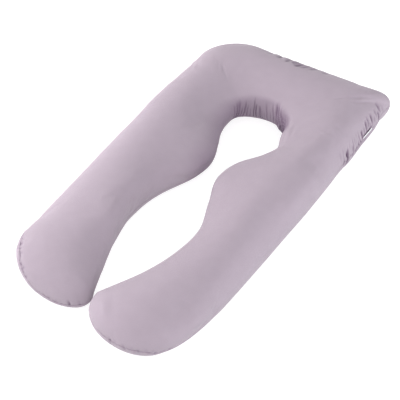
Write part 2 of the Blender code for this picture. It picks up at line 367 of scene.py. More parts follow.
# Height of the widest line by distance from the leg's tip.
SEAM_LEVELS = {
    "left_inner": ((0, 0.060), (0.006, 0.047), (0.030, 0.050), (0.120, SEAM_HEIGHT)),
    "left_outer": (
        (0, 0.060), (0.006, 0.082), (0.020, 0.094), (0.060, 0.101), (0.110, 0.094), (0.230, SEAM_HEIGHT),
    ),
    "right_inner": ((0, 0.064), (0.060, SEAM_HEIGHT)),
    "right_outer": (
        (0, 0.064), (0.040, 0.057), (0.080, 0.068), (0.180, 0.084), (0.315, 0.062), (0.490, 0.066),
        (0.720, SEAM_HEIGHT),
    ),
}


def smooth(share):
    """A share from 0 to 1, eased so that it starts and ends level."""
    return share * share * (3 - 2 * share)


def eased(where, rows):
    """The rows' second column read at these places of their first, with no kink at any row."""
    knots, values = np.array(rows, float).T
    i = np.clip(np.searchsorted(knots, where) - 1, 0, len(knots) - 2)
    return values[i] + (values[i + 1] - values[i]) * smooth(np.clip((where - knots[i]) / (knots[i + 1] - knots[i]), 0, 1))


def level_of(edge, from_tip):
    """Height of the widest line at these distances from a leg tip; it changes faster close to the tip."""
    rows = [(away**0.5, height) for away, height in SEAM_LEVELS[edge]]
    return eased(np.asarray(from_tip) ** 0.5, rows)


print("the widest line lies", level_of("left_outer", 0.06).round(3), "m up beside the left leg's tip")

# %% Where the seam is sewn
# How far above the widest line the outer seam lies, measured over the cloth, by distance from the leg's tip.
SEAM_RISES = {
    "left": (
        (0, 0.0), (0.02, 0.012), (0.05, 0.024), (0.10, 0.025), (0.15, 0.010), (0.21, 0.0),
    ),
    "right": (
        (0.02, 0.0), (0.05, -0.010), (0.10, -0.028), (0.15, -0.034), (0.88, -0.034), (0.93, -0.026),
        (0.965, -0.008), (0.99, 0.0),
    ),
}
# How far below it the inner seam lies: beside the neck, and along a leg once clear of its tip.
NECK_SEAM_DROP = 0.036
LEG_SEAM_DROP = 0.026
DROP_FROM, DROP_OVER = 0.04, 0.12
PLAIN_FULLNESS = 2.1  # how squarely the cloth rolls over a side: this is a plain round one,
MOST_FULLNESS = 2.8  # and this is the tight wall of the neck opening


def walled(fullness):
    """0 where a side is plainly round, 1 where it is the neck's tight wall."""
    return (fullness - PLAIN_FULLNESS) / (MOST_FULLNESS - PLAIN_FULLNESS)


def seam_drops(from_tip, fullness):
    """How far below the widest line the inner seam lies, along the cloth, for every ring."""
    clear = smooth(np.clip((from_tip - DROP_FROM) / DROP_OVER, 0, 1))
    return LEG_SEAM_DROP * clear + (NECK_SEAM_DROP - LEG_SEAM_DROP) * walled(fullness)


def seam_rises(inner, from_tip):
    """How far above the widest line the outer seam lies, for every ring; below 0 it is turned under."""
    left, right = (eased(from_tip, SEAM_RISES[leg]) for leg in ("left", "right"))
    return np.where(inner[:, 1] > NECK_STATION, 0.0, np.where(inner[:, 0] < 0, left, right))


print("half-way down the right leg, the seam lies", -eased(0.5, SEAM_RISES["right"]), "m under the widest line")

# %% [markdown]
# ## How it is stuffed
#
# Filling is pushed in by hand, so no two places are packed alike: a waist is hard and stands square, a
# corner is slack, and the crown leans to where there is more of it. One could sculpt this, but tables by
# station are easier to read and to change. Then each ring's section is a roll at either seam, eased by a
# dome over the whole width, and a steep gathered wall beside the neck opening.

# %% Lean and stuffing
LEG_END_DOME = 0.200
LEG_WALL_REACH = 0.15
LEGS_BLEND = 0.10  # on the head, the left leg's values pass into the right leg's over this width

# Fullness of the neck's wall by direction, in degrees from +X.
NECK_FULLNESS = (
    (0, 2.65), (20, 2.8), (120, 2.8), (140, 2.65), (160, 2.35), (180, 2.1),
)
# How far the crown stands from the middle, as a share of the width: above 0 it stands towards the outer seam.
LEANS = {
    "left": (
        (0.16, 0.0), (0.26, -0.07), (0.36, -0.12), (0.48, -0.12), (0.60, 0.0), (0.70, 0.07), (0.86, 0.14),
        (0.95, 0.12), (1.015, 0.07), (1.050, 0.0),
    ),
    "right": ((0.20, 0.0), (0.45, 0.0), (0.62, 0.04), (0.80, 0.06), (0.92, 0.05), (0.99, 0.0)),
}
# How hard each side is stuffed: 0 is plain, 1 is a full, square shoulder, and below 0 is a slack, sloping one.
STUFFING = {
    "left_inner": (
        (0.04, -0.6), (0.14, -0.8), (0.24, 0.2), (0.37, 1.7), (0.46, 1.7), (0.61, 0.2), (0.72, -1.0),
        (0.92, -1.2), (0.99, -0.6),
    ),
    "right_inner": ((0.20, 0.0), (0.50, -0.4), (0.72, -0.7), (0.85, -0.7), (0.95, -0.2)),
    "left_outer": ((0.35, 0.0), (0.50, 0.3), (1.00, 0.3), (1.25, -0.1)),
    "right_outer": (
        (0.20, 0.0), (0.28, -0.3), (0.38, -0.5), (0.49, -0.6), (0.57, -0.2), (0.70, 0.9), (0.80, 0.9),
        (0.93, -0.1), (1.00, -0.5), (1.20, -0.6), (1.27, -0.4),
    ),
}


def across_legs(seam, left_rows, right_rows):
    """A table of each leg, read at each (x, station) row of a seam and blended on the head."""
    left, right = eased(seam[:, 1], left_rows), eased(seam[:, 1], right_rows)
    return left + (right - left) * np.clip(seam[:, 0] / LEGS_BLEND + 0.5, 0, 1)


print("the hardest side is stuffed to", max(share for rows in STUFFING.values() for station, share in rows))


# %% Everything that a ring needs to know
def seam_rows(density):
    """For every ring: inner and outer seam, distance from the leg tip, fullness of the inner wall, and both levels."""
    left_inner, left_outer = leg_outline(LEFT_LEG, density.end_rows, density.side_rows)
    right_inner, right_outer = (row[::-1] for row in leg_outline(RIGHT_LEG, density.end_rows, density.side_rows))
    angles = head_angles(density)
    inner = np.concatenate([left_inner, neck_outline(angles), right_inner])
    outer = np.concatenate([left_outer, [head_point(a) for a in angles], right_outer])
    left_away, right_away = left_inner[:, 1] - LEFT_LEG.tip_station, right_inner[:, 1] - RIGHT_LEG.tip_station
    from_tip = np.concatenate([left_away, np.full(len(angles), LEG_END_DOME), right_away])
    left = np.full(len(left_inner), PLAIN_FULLNESS)
    neck = np.interp(np.degrees(angles), *zip(*NECK_FULLNESS))
    near_neck = smooth(np.clip(1 - (NECK_STATION - right_inner[:, 1]) / LEG_WALL_REACH, 0, 1))
    right = PLAIN_FULLNESS + (NECK_FULLNESS[0][1] - PLAIN_FULLNESS) * near_neck
    head = np.full(len(angles), SEAM_HEIGHT)
    levels = [
        np.concatenate([level_of("left_" + edge, left_away), head, level_of("right_" + edge, right_away)])
        for edge in ("inner", "outer")
    ]
    return inner, outer, from_tip, np.concatenate([left, neck, right]), *levels


print(len(seam_rows(FINE)[0]), "rings, of which the first and the last shrink to the tips")

# %% Roll and wall
DOME_SHARE = 0.5
FULLER_POWER = 0.5
TIGHTER = 0.35  # a hard stuffed side rolls over within this share less of its reach
WALL_POWER = 0.5
CREST = 0.62  # the neck's wall reaches this share of the crown's height,
CREST_ROUND = 0.012  # and turns over with this softness


def profile(from_edge, width, reach, stuffing):
    """Height of the cloth, from 0 at the seam to 1 in the middle: a quick roll, eased by a dome over the whole width."""
    power = PLAIN_FULLNESS + FULLER_POWER * np.maximum(stuffing, 0)
    reach = reach * (1 - TIGHTER * np.maximum(stuffing, 0))
    roll = superellipse(1 - np.minimum(from_edge / np.minimum(width / 2, reach), 1), power)
    dome = DOME_SHARE * np.maximum(1 - stuffing, 0)
    return (1 - dome) * roll + dome * superellipse(1 - 2 * from_edge / width, 2)


def neck_profile(from_edge, width, reach):
    """Height beside the neck opening: the wall of gathers climbs straight to a crest, and the panel runs on from
    there.
    """
    wall = (from_edge / reach) ** WALL_POWER
    panel = CREST + (1 - CREST) * np.sin(math.pi / 2 * np.minimum(2 * from_edge / width, 1))
    return -CREST_ROUND * np.logaddexp(-wall / CREST_ROUND, -panel / CREST_ROUND)


print("3 cm from the neck's seam the wall has", neck_profile(0.03, 0.2, 0.03).round(2), "of the crown's height")

# %% Corners without ridges
EVENED_OVER = 0.13
LEAST_SQUARE = 0.6


def run_along(line):
    """How far along a line each of its points lies."""
    return np.concatenate([[0.0], np.cumsum(np.linalg.norm(np.diff(line, axis=0), axis=1))])


def squareness(inner, outer):
    """How squarely each ring meets the outer seam, up to 1, evened out so that no ridge runs to a corner."""
    across = outer - inner
    along = np.gradient(outer, axis=0)
    turned = across[:, 0] * along[:, 1] - across[:, 1] * along[:, 0]
    square = np.abs(turned) / (np.linalg.norm(across, axis=1) * np.linalg.norm(along, axis=1))
    run = run_along(outer)
    weight = np.exp(-(((run[:, None] - run) / EVENED_OVER) ** 2)) * np.gradient(run)
    return np.clip(weight @ square / weight.sum(1), LEAST_SQUARE, 1.0)


inner, outer = (row[1:-1] for row in seam_rows(COARSE)[:2])
print("the most slanting ring meets the outer seam at", squareness(inner, outer).min().round(2))

# %% Half a loop
CROWN_HEIGHT = 0.148
UNDERSIDE_SAG = 0.092
ROLL = 0.128
LEG_END_ROLL = 0.090
WALL_REACH = 0.0306
WIDER_WALL = 0.018  # the wall leans back this much further at the right of the opening,
WIDENS_FROM, WIDENS_OVER = 0.02, 0.06  # from this x and over this width
LOOP_SAMPLES = 141


def half_loop(inner, outer, from_tip, fullness, levels, underside):
    """Every ring's top or underside as a fine polyline (ring, sample, 3), from its inner to its outer seam."""
    width = np.linalg.norm(outer - inner, axis=1)[:, None]
    from_edge = width / 2 * (1 - np.cos(np.linspace(0, math.pi / 2, LOOP_SAMPLES)))
    stuffed = [0, 0]
    if not underside:
        stuffed = [
            across_legs(seam, STUFFING["left_" + edge], STUFFING["right_" + edge])[:, None]
            for edge, seam in (("inner", inner), ("outer", outer))
        ]
    inner_half = profile(from_edge, width, ROLL, stuffed[0])
    if not underside:
        wider = WIDER_WALL * np.clip((inner[:, 0] - WIDENS_FROM) / WIDENS_OVER, 0, 1)[:, None]
        wall = neck_profile(from_edge, width, WALL_REACH + wider)
        inner_half = inner_half + walled(fullness)[:, None] * (wall - inner_half)
    outer_half = profile(from_edge, width, ROLL / squareness(inner, outer)[:, None], stuffed[1])
    share = np.concatenate([from_edge, (width - from_edge)[:, -2::-1]], 1) / width
    lean = across_legs(inner, LEANS["left"], LEANS["right"])[:, None]
    leaning = share + 4 * lean * share * (1 - share)
    plan = inner[:, None] + (outer - inner)[:, None] * leaning[..., None]
    near_tip = np.minimum(from_tip / LEG_END_ROLL, 1)
    dome = np.minimum(from_tip / LEG_END_DOME, 1)
    lift = (1 - DOME_SHARE) * superellipse(1 - near_tip, 2) + DOME_SHARE * superellipse(1 - dome, 2)
    rise = np.concatenate([inner_half, outer_half[:, -2::-1]], 1) * lift[:, None]
    level = levels[0][:, None] + (levels[1] - levels[0])[:, None] * share
    if underside:
        height = level * np.maximum(0, 1 - UNDERSIDE_SAG / SEAM_HEIGHT * rise)
    else:
        height = level + (CROWN_HEIGHT - level) * rise
    return np.concatenate([plan, height[..., None]], 2)


# %% Lay the rings
def lay_round(upper, lower, top_shares, under_shares, drops, rises):
    """Points round each ring, counted from its dropped inner seam over the top and back along the underside."""
    loops = np.concatenate([upper, lower[:, -2::-1]], 1)
    steps = np.linalg.norm(np.diff(loops, axis=1), axis=2)
    arc = np.concatenate([np.zeros((len(steps), 1)), np.cumsum(steps, 1)], 1)
    to_outer, whole = arc[:, upper.shape[1] - 1] - rises, arc[:, -1]
    made = np.empty((len(loops), len(top_shares) + len(under_shares), 3))
    for row, (line, run) in enumerate(zip(loops, arc)):
        top = -drops[row] + top_shares * (to_outer[row] + drops[row])
        under = to_outer[row] + (1 - under_shares) * (whole[row] - drops[row] - to_outer[row])
        where = np.concatenate([top, under]) % whole[row]
        for axis in range(3):
            made[row, :, axis] = np.interp(where, run, line[:, axis])
    return made


def cover_rings(density):
    """The cover as a grid (ring, place round it, 3) between the tips, with what later steps need to know."""
    inner, outer, from_tip, fullness, *levels = (row[1:-1] for row in seam_rows(density))
    top, under = shares(*density.top_steps), shares(*density.under_steps)[::-1][1:-1]
    upper, lower = (half_loop(inner, outer, from_tip, fullness, levels, underside) for underside in (False, True))
    grid = lay_round(upper, lower, top, under, seam_drops(from_tip, fullness), seam_rises(inner, from_tip))
    grid[..., 1] = station_to_y(grid[..., 1])
    return grid, top, under


fine_grid, top_places, under_places = cover_rings(FINE)
OUTER = len(top_places) - 1  # the column of the grid that lies on the outer seam; column 0 lies on the inner one
TIPS = np.array([
    (leg.side * leg.tip_x, station_to_y(leg.tip_station), float(level_of(edge, 0.0)))
    for leg, edge in ((LEFT_LEG, "left_outer"), (RIGHT_LEG, "right_outer"))
])
print("fine grid", fine_grid.shape, "triangles", 2 * fine_grid.shape[0] * fine_grid.shape[1])


# %% Turn a grid of rings into a mesh
def skin(name, grid, tips):
    """A closed mesh: quads between neighbouring rings, and a fan at each leg tip."""
    rings, size = grid.shape[:2]
    index = np.arange(rings * size).reshape(rings, size)
    here, there = index[:-1], index[1:]
    quads = np.stack([here, there, np.roll(there, -1, 1), np.roll(here, -1, 1)], -1).reshape(-1, 4)
    first, last = rings * size, rings * size + 1
    fans = [(index[0, j], index[0, (j + 1) % size], first) for j in range(size)]
    fans += [(index[-1, (j + 1) % size], index[-1, j], last) for j in range(size)]
    made = add_mesh(name, np.concatenate([grid.reshape(-1, 3), tips]), [tuple(q) for q in quads] + fans)
    made.data.shade_smooth()
    return made


# %% [markdown]
# ## Swells and hollows
#
# Loose filling never lies level: it packs tight in a waist and leaves hollows beside the neck. Broad,
# low bumps added one by one put these where this pillow has them, and the cloth still looks drawn tight.

# %% Swells and hollows
Swell = namedtuple("Swell", "x station across along height")
SWELLS = [Swell(*row) for row in (
    (-0.160, 0.50, 0.070, 0.100, 0.003),
    (-0.102, 0.37, 0.055, 0.130, 0.010),
    (-0.220, 0.70, 0.070, 0.100, 0.004),
    (-0.190, 1.15, 0.090, 0.080, 0.002),
    (-0.118, 0.90, 0.060, 0.075, -0.010),
    (-0.200, 0.88, 0.055, 0.090, 0.004),
    (-0.070, 0.21, 0.050, 0.100, -0.007),
    (0.175, 0.98, 0.055, 0.085, -0.007),
    (0.120, 0.74, 0.050, 0.100, -0.004),
    (0.300, 1.05, 0.070, 0.110, 0.012),
    (0.255, 0.66, 0.075, 0.260, 0.004),
    (0.265, 1.23, 0.060, 0.050, 0.005),
    (0.240, 0.60, 0.060, 0.090, 0.003),
    (0.280, 0.49, 0.050, 0.060, 0.003),
    (0.270, 0.33, 0.060, 0.070, -0.004),
    (0.190, 0.14, 0.060, 0.100, 0.004),
    (0.040, 0.12, 0.050, 0.080, -0.003),
)]


def swollen(grid):
    """The fine grid with its top panel raised and lowered by the swells, which fade out towards the seam."""
    made = grid.copy()
    top = made[:, : OUTER + 1]
    above_seam = np.clip((top[..., 2] - SEAM_HEIGHT) / (CROWN_HEIGHT - SEAM_HEIGHT), 0, 1)
    for swell in SWELLS:
        across = (top[..., 0] - swell.x) / swell.across
        along = (top[..., 1] - station_to_y(swell.station)) / swell.along
        top[..., 2] += swell.height * above_seam * np.exp(-(across**2) - along**2)
    return made


swollen_grid = swollen(fine_grid)
print("top of the crown at", swollen_grid[..., 2].max().round(4), "m")

# %% [markdown]
# ## Let the cloth settle over its filling
#
# A formula gives a cover that no cloth would take. So a coarser copy is handed to Blender's Cloth with
# air pressure inside: its seam and the part that lies on the floor are held, and the cloth between is
# cut a little too large round the neck and where the corners were eased in, so that it buckles there.
# Only the difference from the formula is kept, and it is spread over the fine grid.

# %% Where the cloth is cut too large
Ease = namedtuple("Ease", "x station radius share")
EASES = [Ease(*row) for row in (
    (0.060, 1.045, 0.060, 1.0), (-0.040, 1.050, 0.060, 1.0), (0.325, 1.010, 0.050, 0.8),
    (0.325, 1.130, 0.060, 0.8), (0.325, 1.230, 0.050, 0.4), (-0.270, 0.090, 0.070, 0.6),
    (0.200, 0.010, 0.100, 0.5), (-0.040, 1.315, 0.070, 0.5),
)]


def ease_at(points):
    """How much the cloth is eased at these points, from 0 to 1: most at the places in the table."""
    made = np.zeros(points.shape[:-1])
    for ease in EASES:
        away = np.hypot(points[..., 0] - ease.x, points[..., 1] - station_to_y(ease.station))
        made = np.maximum(made, ease.share * np.exp(-((away / ease.radius) ** 2)))
    return made


print("eased by half or more at", int((ease_at(fine_grid) > 0.5).sum()), "points of the fine grid")

# %% Settle the cover
SETTLE_FRAMES = 20
ON_FLOOR = 0.0005  # cloth lower than this is held by the floor
MOST_MOVE = 0.012  # no point moves further than this
CLOTH_SETTINGS = {
    "vertex_group_mass": "held",
    "quality": 6,
    "mass": 0.2,
    "tension_stiffness": 30,
    "compression_stiffness": 30,
    "shear_stiffness": 10,
    "bending_stiffness": 0.05,
    "air_damping": 3,
    "use_pressure": True,
    "uniform_pressure_force": 4.0,
    "shrink_min": 0.0,
    "shrink_max": -0.10,  # where the ease is greatest, the cloth is cut this share too large
    "vertex_group_shrink": "eased",
}


def settle(grid, outer):
    """How far each point of the grid, whose outer seam is this column, moves when it is blown up and settles."""
    cover = skin("settling", grid, TIPS)
    points = np.concatenate([grid.reshape(-1, 3), TIPS])
    fixed = {ring * grid.shape[1] + column for ring in range(len(grid)) for column in (0, outer)}
    fixed |= {int(i) for i in np.flatnonzero(points[:, 2] < ON_FLOOR)} | {len(points) - 2, len(points) - 1}
    cover.vertex_groups.new(name="held").add(sorted(fixed), 1.0, "REPLACE")
    eased_group = cover.vertex_groups.new(name="eased")
    for i, share in enumerate(ease_at(points)):
        eased_group.add([i], float(share), "REPLACE")
    cloth = cover.modifiers.new("settle", "CLOTH")
    for setting, value in CLOTH_SETTINGS.items():
        setattr(cloth.settings, setting, value)
    cloth.settings.effector_weights.gravity = 0
    scene = bpy.context.scene
    for number in range(1, SETTLE_FRAMES + 1):
        scene.frame_set(number)
    settled = cover.evaluated_get(bpy.context.evaluated_depsgraph_get()).to_mesh()
    moved = np.empty(len(points) * 3, np.float32)
    settled.vertices.foreach_get("co", moved)
    moved = moved.reshape(-1, 3) - points
    scene.frame_set(1)
    bpy.data.objects.remove(cover)
    return moved[:-2].reshape(grid.shape)


coarse_grid, coarse_top, coarse_under = cover_rings(COARSE)
print("coarse grid", coarse_grid.shape)
settling = settle(coarse_grid, len(coarse_top) - 1)
moved_by = np.linalg.norm(settling, axis=2, keepdims=True)
print("half of the cloth moved by more than", round(1000 * float(np.median(moved_by)), 1), "mm")


# %% Spread the settling over the fine grid
def zones(density):
    """Each ring's place, alike in both grids: 0 to 2 up the left leg, 2 to 4 round the head, 4 to 6 down the right."""
    leg = np.concatenate([
        np.arange(density.end_rows) / density.end_rows,
        1 + np.arange(density.side_rows + 1) / density.side_rows,
    ])
    head = np.concatenate([
        2 + np.arange(1, density.head_rows + 1) / density.head_rows,
        3 + np.arange(1, density.zip_side_rows) / density.zip_side_rows,
    ])
    return np.concatenate([leg, head, 6 - leg[::-1]])[1:-1]


def smooth_between(values, old, new):
    """Cubic interpolation of rows of values from the old places to the new ones."""
    slope = np.gradient(values, old, axis=0)
    i = np.clip(np.searchsorted(old, new) - 1, 0, len(old) - 2)
    step = (old[i + 1] - old[i])[:, None, None]
    t = (new - old[i])[:, None, None] / step
    left = values[i] * (1 + 2 * t) + slope[i] * step * t
    right = values[i + 1] * (3 - 2 * t) - slope[i + 1] * step * (1 - t)
    return left * (1 - t) ** 2 + right * t**2


def onto_fine(moves):
    """Moves of the coarse grid's points, spread over the fine grid."""
    around_coarse = np.concatenate([coarse_top, 2 - coarse_under, [2.0]])
    around_fine = np.concatenate([top_places, 2 - under_places])
    moves = np.concatenate([moves, moves[:, :1]], 1)
    moves = smooth_between(moves.transpose(1, 0, 2), around_coarse, around_fine).transpose(1, 0, 2)
    still = np.zeros_like(moves[:1])
    along_coarse = np.concatenate([[0.0], zones(COARSE), [6.0]])
    return smooth_between(np.concatenate([still, moves, still]), along_coarse, zones(FINE))


capped = settling * np.minimum(1, MOST_MOVE / np.maximum(moved_by, 1e-9))
settled_grid = swollen_grid + onto_fine(capped)
settled_grid[..., 2] = np.maximum(settled_grid[..., 2], 0)
print("the cover now reaches", settled_grid[..., 2].max().round(4), "m up")

# %% [markdown]
# ## Where each point lies beside the seam
#
# Gathers, puckers and stitches all belong to the seam, so they are easiest to place in the seam's own
# coordinates: how far along it a point lies, and how far from it, above or below. A KD tree finds the
# nearest of the seam's points for every point of the cover.

# %% Seam coordinates
SEAM_STEP = 0.001


def seam_line(grid):
    """The seam as an evenly spaced closed line, from the left leg's tip up the outside and back along the inside."""
    loop = np.concatenate([TIPS[:1], grid[:, OUTER], TIPS[1:], grid[::-1, 0], TIPS[:1]])
    run = run_along(loop)
    every = np.linspace(0, run[-1], int(run[-1] / SEAM_STEP), endpoint=False)
    return np.stack([np.interp(every, run, loop[:, axis]) for axis in range(3)], 1), every, run[-1]


seam_points, seam_run, seam_length = seam_line(settled_grid)
seam_tree = KDTree(len(seam_points))
for i, point in enumerate(seam_points):
    seam_tree.insert(point, i)
seam_tree.balance()


def run_at(x, station):
    """How far along the seam the point nearest to this place lies."""
    plan = np.hypot(seam_points[:, 0] - x, seam_points[:, 1] - station_to_y(station))
    return seam_run[np.argmin(plan)]


def beside_seam(grid):
    """For every point of the grid, its run along the seam and its distance from it, negative on the underside."""
    points = grid.reshape(-1, 3)
    found = [seam_tree.find(p)[1:] for p in points]
    near = np.array([row[0] for row in found])
    away = np.array([row[1] for row in found])
    ahead = np.roll(seam_points, -2, 0)[near] - np.roll(seam_points, 2, 0)[near]
    ahead /= np.linalg.norm(ahead, axis=1, keepdims=True)
    slip = ((points - seam_points[near]) * ahead).sum(1)
    run = seam_run[near] + np.clip(slip, -SEAM_STEP / 2, SEAM_STEP / 2)
    under = np.broadcast_to(np.arange(grid.shape[1]) > OUTER, grid.shape[:2]).reshape(-1)
    return run, np.where(under, -away, away)


def outward(grid):
    """The surface's outward direction at every point of the grid."""
    along = np.gradient(grid, axis=0)
    around = np.roll(grid, -1, 1) - np.roll(grid, 1, 1)
    made = np.cross(along, around)
    return made / np.maximum(np.linalg.norm(made, axis=2, keepdims=True), 1e-12)


point_run, point_away = beside_seam(settled_grid)
normals = outward(settled_grid).reshape(-1, 3)
print("the seam is", round(seam_length, 3), "m long, and the cloth reaches", point_away.max().round(3), "m from it")

# %% [markdown]
# ## Gathers and puckers
#
# Where a seam is shorter than the cloth that it holds, the spare cloth stands up in sharp folds that start
# at the stitches and die out on the panel. Each one here is a narrow valley with a soft ridge on either
# side. The ones that give this cover its look are placed one by one, in tables of real positions and sizes,
# and a row of small ones with a fixed seed follows the whole seam.

# %% The form of one fold
RIDGE_SHARE = 0.35  # height of the ridges beside a valley, as a share of its depth
RIDGE_AT, RIDGE_WIDTH = 1.9, 0.8  # in half widths of the valley
VALLEY_POWER = 1.6
WIDENING = 0.8  # a fold is this share wider where it ends
BELOW_BEND = 0.35  # below its bend, a fold leans the other way by this share
FREE_POWER = 0.8  # how a fold that doesn't start at the seam swells and dies out
FOLD_ROOM = 6  # a fold counts within so many half widths on either side

order = np.argsort(point_run)
sorted_run = point_run[order]
depths = np.zeros(len(point_run))


def fold_in(run, start, reach, depth, half_width, lean, hold=0.0, bend=0.0):
    """Adds one fold to the depths: a valley across the seam's run, from start to reach on one side of it."""
    side = 1 if reach > 0 else -1
    reach = abs(reach)
    room = FOLD_ROOM * half_width + abs(lean) * reach
    first, last = np.searchsorted(sorted_run, [run - room, run + room])
    chosen = order[first:last]
    away = point_away[chosen] * side
    t = (away - start) / (reach - start)
    inside = (t >= 0) & (t < 1)
    chosen, away, t = chosen[inside], away[inside], t[inside]
    leaning = lean * (np.maximum(away - bend, 0) + BELOW_BEND * np.maximum(bend - away, 0))
    across = np.abs(point_run[chosen] - run - leaning) / (half_width * (1 + WIDENING * t))
    ridges = RIDGE_SHARE * np.exp(-(((across - RIDGE_AT) / RIDGE_WIDTH) ** 2))
    valley = np.exp(-(across**VALLEY_POWER)) - ridges
    late = np.clip((t - hold) / (1 - hold), 0, 1)
    fading = (1 - late) ** 2 * (1 + 2 * late) if start == 0 else np.sin(math.pi * t) ** FREE_POWER
    depths[chosen] += depth * valley * fading


print(len(depths), "points stand ready to be folded")

# %% Gathers of the neck
NECK_BEND = 0.036  # the gathers run one way below this distance from the seam and the other way above it
NECK_HOLD = 0.60  # up to this share of its reach, a gather in the neck keeps its whole depth
UNDER_SHARE = 0.25  # how far a gather reaches under the seam, as a share of its reach above it

NeckFold = namedtuple("NeckFold", "degrees depth half_width reach lean")
NECK_FOLDS = [NeckFold(*row) for row in (
    (6, 0.0024, 0.0026, 0.070, 0.90), (14, 0.0034, 0.0026, 0.080, 0.95), (21, 0.0044, 0.0024, 0.086, 0.95),
    (27, 0.0058, 0.0026, 0.094, 0.92), (33, 0.0032, 0.0020, 0.086, 0.88), (39, 0.0074, 0.0027, 0.098, 0.82),
    (44, 0.0036, 0.0020, 0.088, 0.76), (50, 0.0066, 0.0024, 0.096, 0.68), (56, 0.0036, 0.0020, 0.088, 0.60),
    (62, 0.0050, 0.0024, 0.092, 0.52), (68, 0.0026, 0.0020, 0.080, 0.44), (75, 0.0030, 0.0022, 0.086, 0.36),
    (83, 0.0014, 0.0020, 0.056, 0.28), (92, 0.0020, 0.0024, 0.080, 0.20), (98, 0.0012, 0.0020, 0.050, 0.15),
    (104, 0.0022, 0.0020, 0.056, 0.10), (108, 0.0040, 0.0022, 0.062, 0.08), (112, 0.0020, 0.0020, 0.054, 0.05),
    (117, 0.0044, 0.0022, 0.070, 0.00), (122, 0.0040, 0.0022, 0.090, -0.04),
    (130, 0.0016, 0.0022, 0.052, -0.06), (137, 0.0022, 0.0022, 0.060, -0.08),
    (145, 0.0026, 0.0024, 0.072, -0.10), (152, 0.0020, 0.0022, 0.060, -0.12),
    (159, 0.0032, 0.0024, 0.074, -0.12), (165, 0.0030, 0.0024, 0.070, -0.12),
    (174, 0.0016, 0.0024, 0.060, -0.15),
)]

for row in NECK_FOLDS:
    where = run_at(*neck_outline(np.radians([row.degrees]))[0])
    fold_in(where, 0.0, row.reach, row.depth, row.half_width, row.lean, NECK_HOLD, NECK_BEND)
    fold_in(where, 0.0, -UNDER_SHARE * row.reach, row.depth, row.half_width, 0.0)
print(len(NECK_FOLDS), "gathers round the neck")

# %% Folds placed one by one
# Beside the zip, on the head's short edge: station, start, reach, depth, half width, lean.
ZIP_SIDE_FOLDS = (
    (1.262, 0.004, 0.030, 0.0020, 0.0032, -0.10), (1.245, 0.006, 0.050, 0.0050, 0.0038, -0.20),
    (1.230, 0.000, 0.040, 0.0110, 0.0046, -0.25), (1.230, 0.000, -0.020, 0.0070, 0.0042, 0.00),
    (1.213, 0.008, 0.046, 0.0036, 0.0036, -0.30), (1.197, 0.006, 0.034, 0.0030, 0.0032, -0.30),
    (1.180, 0.010, 0.048, 0.0056, 0.0036, -0.30), (1.168, 0.006, 0.030, 0.0026, 0.0030, -0.30),
    (1.156, 0.012, 0.054, 0.0040, 0.0034, -0.30), (1.142, 0.007, 0.046, 0.0062, 0.0036, -0.30),
    (1.127, 0.006, 0.034, 0.0034, 0.0032, -0.30), (1.112, 0.004, 0.034, 0.0064, 0.0036, -0.30),
    (1.098, 0.000, 0.022, 0.0034, 0.0030, -0.30), (1.083, 0.000, 0.026, 0.0050, 0.0034, -0.30),
    (1.069, 0.000, 0.014, 0.0040, 0.0032, -0.30), (1.045, 0.002, 0.024, 0.0030, 0.0032, -0.30),
    (1.028, 0.000, 0.020, 0.0024, 0.0030, 0.00), (1.012, 0.000, 0.036, 0.0120, 0.0050, -0.25),
    (1.012, 0.000, -0.050, 0.0150, 0.0062, 0.20), (0.992, 0.000, 0.020, 0.0030, 0.0034, -0.20),
    (1.150, 0.005, -0.030, 0.0036, 0.0032, 0.10), (1.136, 0.005, -0.034, 0.0044, 0.0032, 0.10),
    (1.122, 0.004, -0.034, 0.0040, 0.0030, 0.10), (1.108, 0.000, -0.030, 0.0050, 0.0034, 0.10),
    (1.094, 0.000, -0.030, 0.0036, 0.0030, 0.10), (1.080, 0.000, -0.026, 0.0040, 0.0032, 0.10),
    (1.066, 0.000, -0.030, 0.0052, 0.0034, 0.10), (1.045, 0.000, -0.022, 0.0030, 0.0032, 0.10),
    (0.990, 0.000, -0.026, 0.0042, 0.0034, 0.10),
)
# At the left and then the right leg's end, all from the seam: x, station, reach, depth, half width, lean.
LEG_END_FOLDS = (
    (-0.283, 0.124, 0.012, 0.0022, 0.0028, 0.10), (-0.273, 0.108, -0.014, 0.0031, 0.0028, 0.00),
    (-0.260, 0.091, 0.012, 0.0028, 0.0028, 0.00), (-0.241, 0.075, -0.016, 0.0036, 0.0028, 0.00),
    (-0.230, 0.065, 0.014, 0.0025, 0.0026, 0.10), (-0.215, 0.057, -0.014, 0.0028, 0.0026, 0.00),
    (-0.201, 0.050, 0.012, 0.0028, 0.0026, 0.00), (-0.186, 0.044, -0.012, 0.0025, 0.0026, 0.00),
    (-0.149, 0.041, 0.012, 0.0025, 0.0026, 0.00), (-0.117, 0.045, 0.014, 0.0025, 0.0026, 0.10),
    (-0.055, 0.059, 0.026, 0.0045, 0.0031, 0.20), (-0.055, 0.059, -0.016, 0.0036, 0.0031, 0.20),
    (-0.036, 0.078, 0.022, 0.0031, 0.0029, 0.10), (0.129, 0.001, -0.042, 0.0034, 0.0028, 0.00),
    (0.129, 0.001, 0.010, 0.0028, 0.0028, 0.00), (0.154, 0.000, -0.014, 0.0020, 0.0026, 0.00),
    (0.179, 0.003, -0.018, 0.0034, 0.0026, 0.00), (0.212, 0.016, 0.010, 0.0020, 0.0026, 0.00),
    (0.254, 0.042, -0.014, 0.0034, 0.0028, 0.10), (0.254, 0.042, 0.012, 0.0028, 0.0028, 0.10),
    (0.284, 0.074, 0.014, 0.0031, 0.0028, 0.10), (0.094, 0.004, 0.014, 0.0020, 0.0028, 0.00),
)

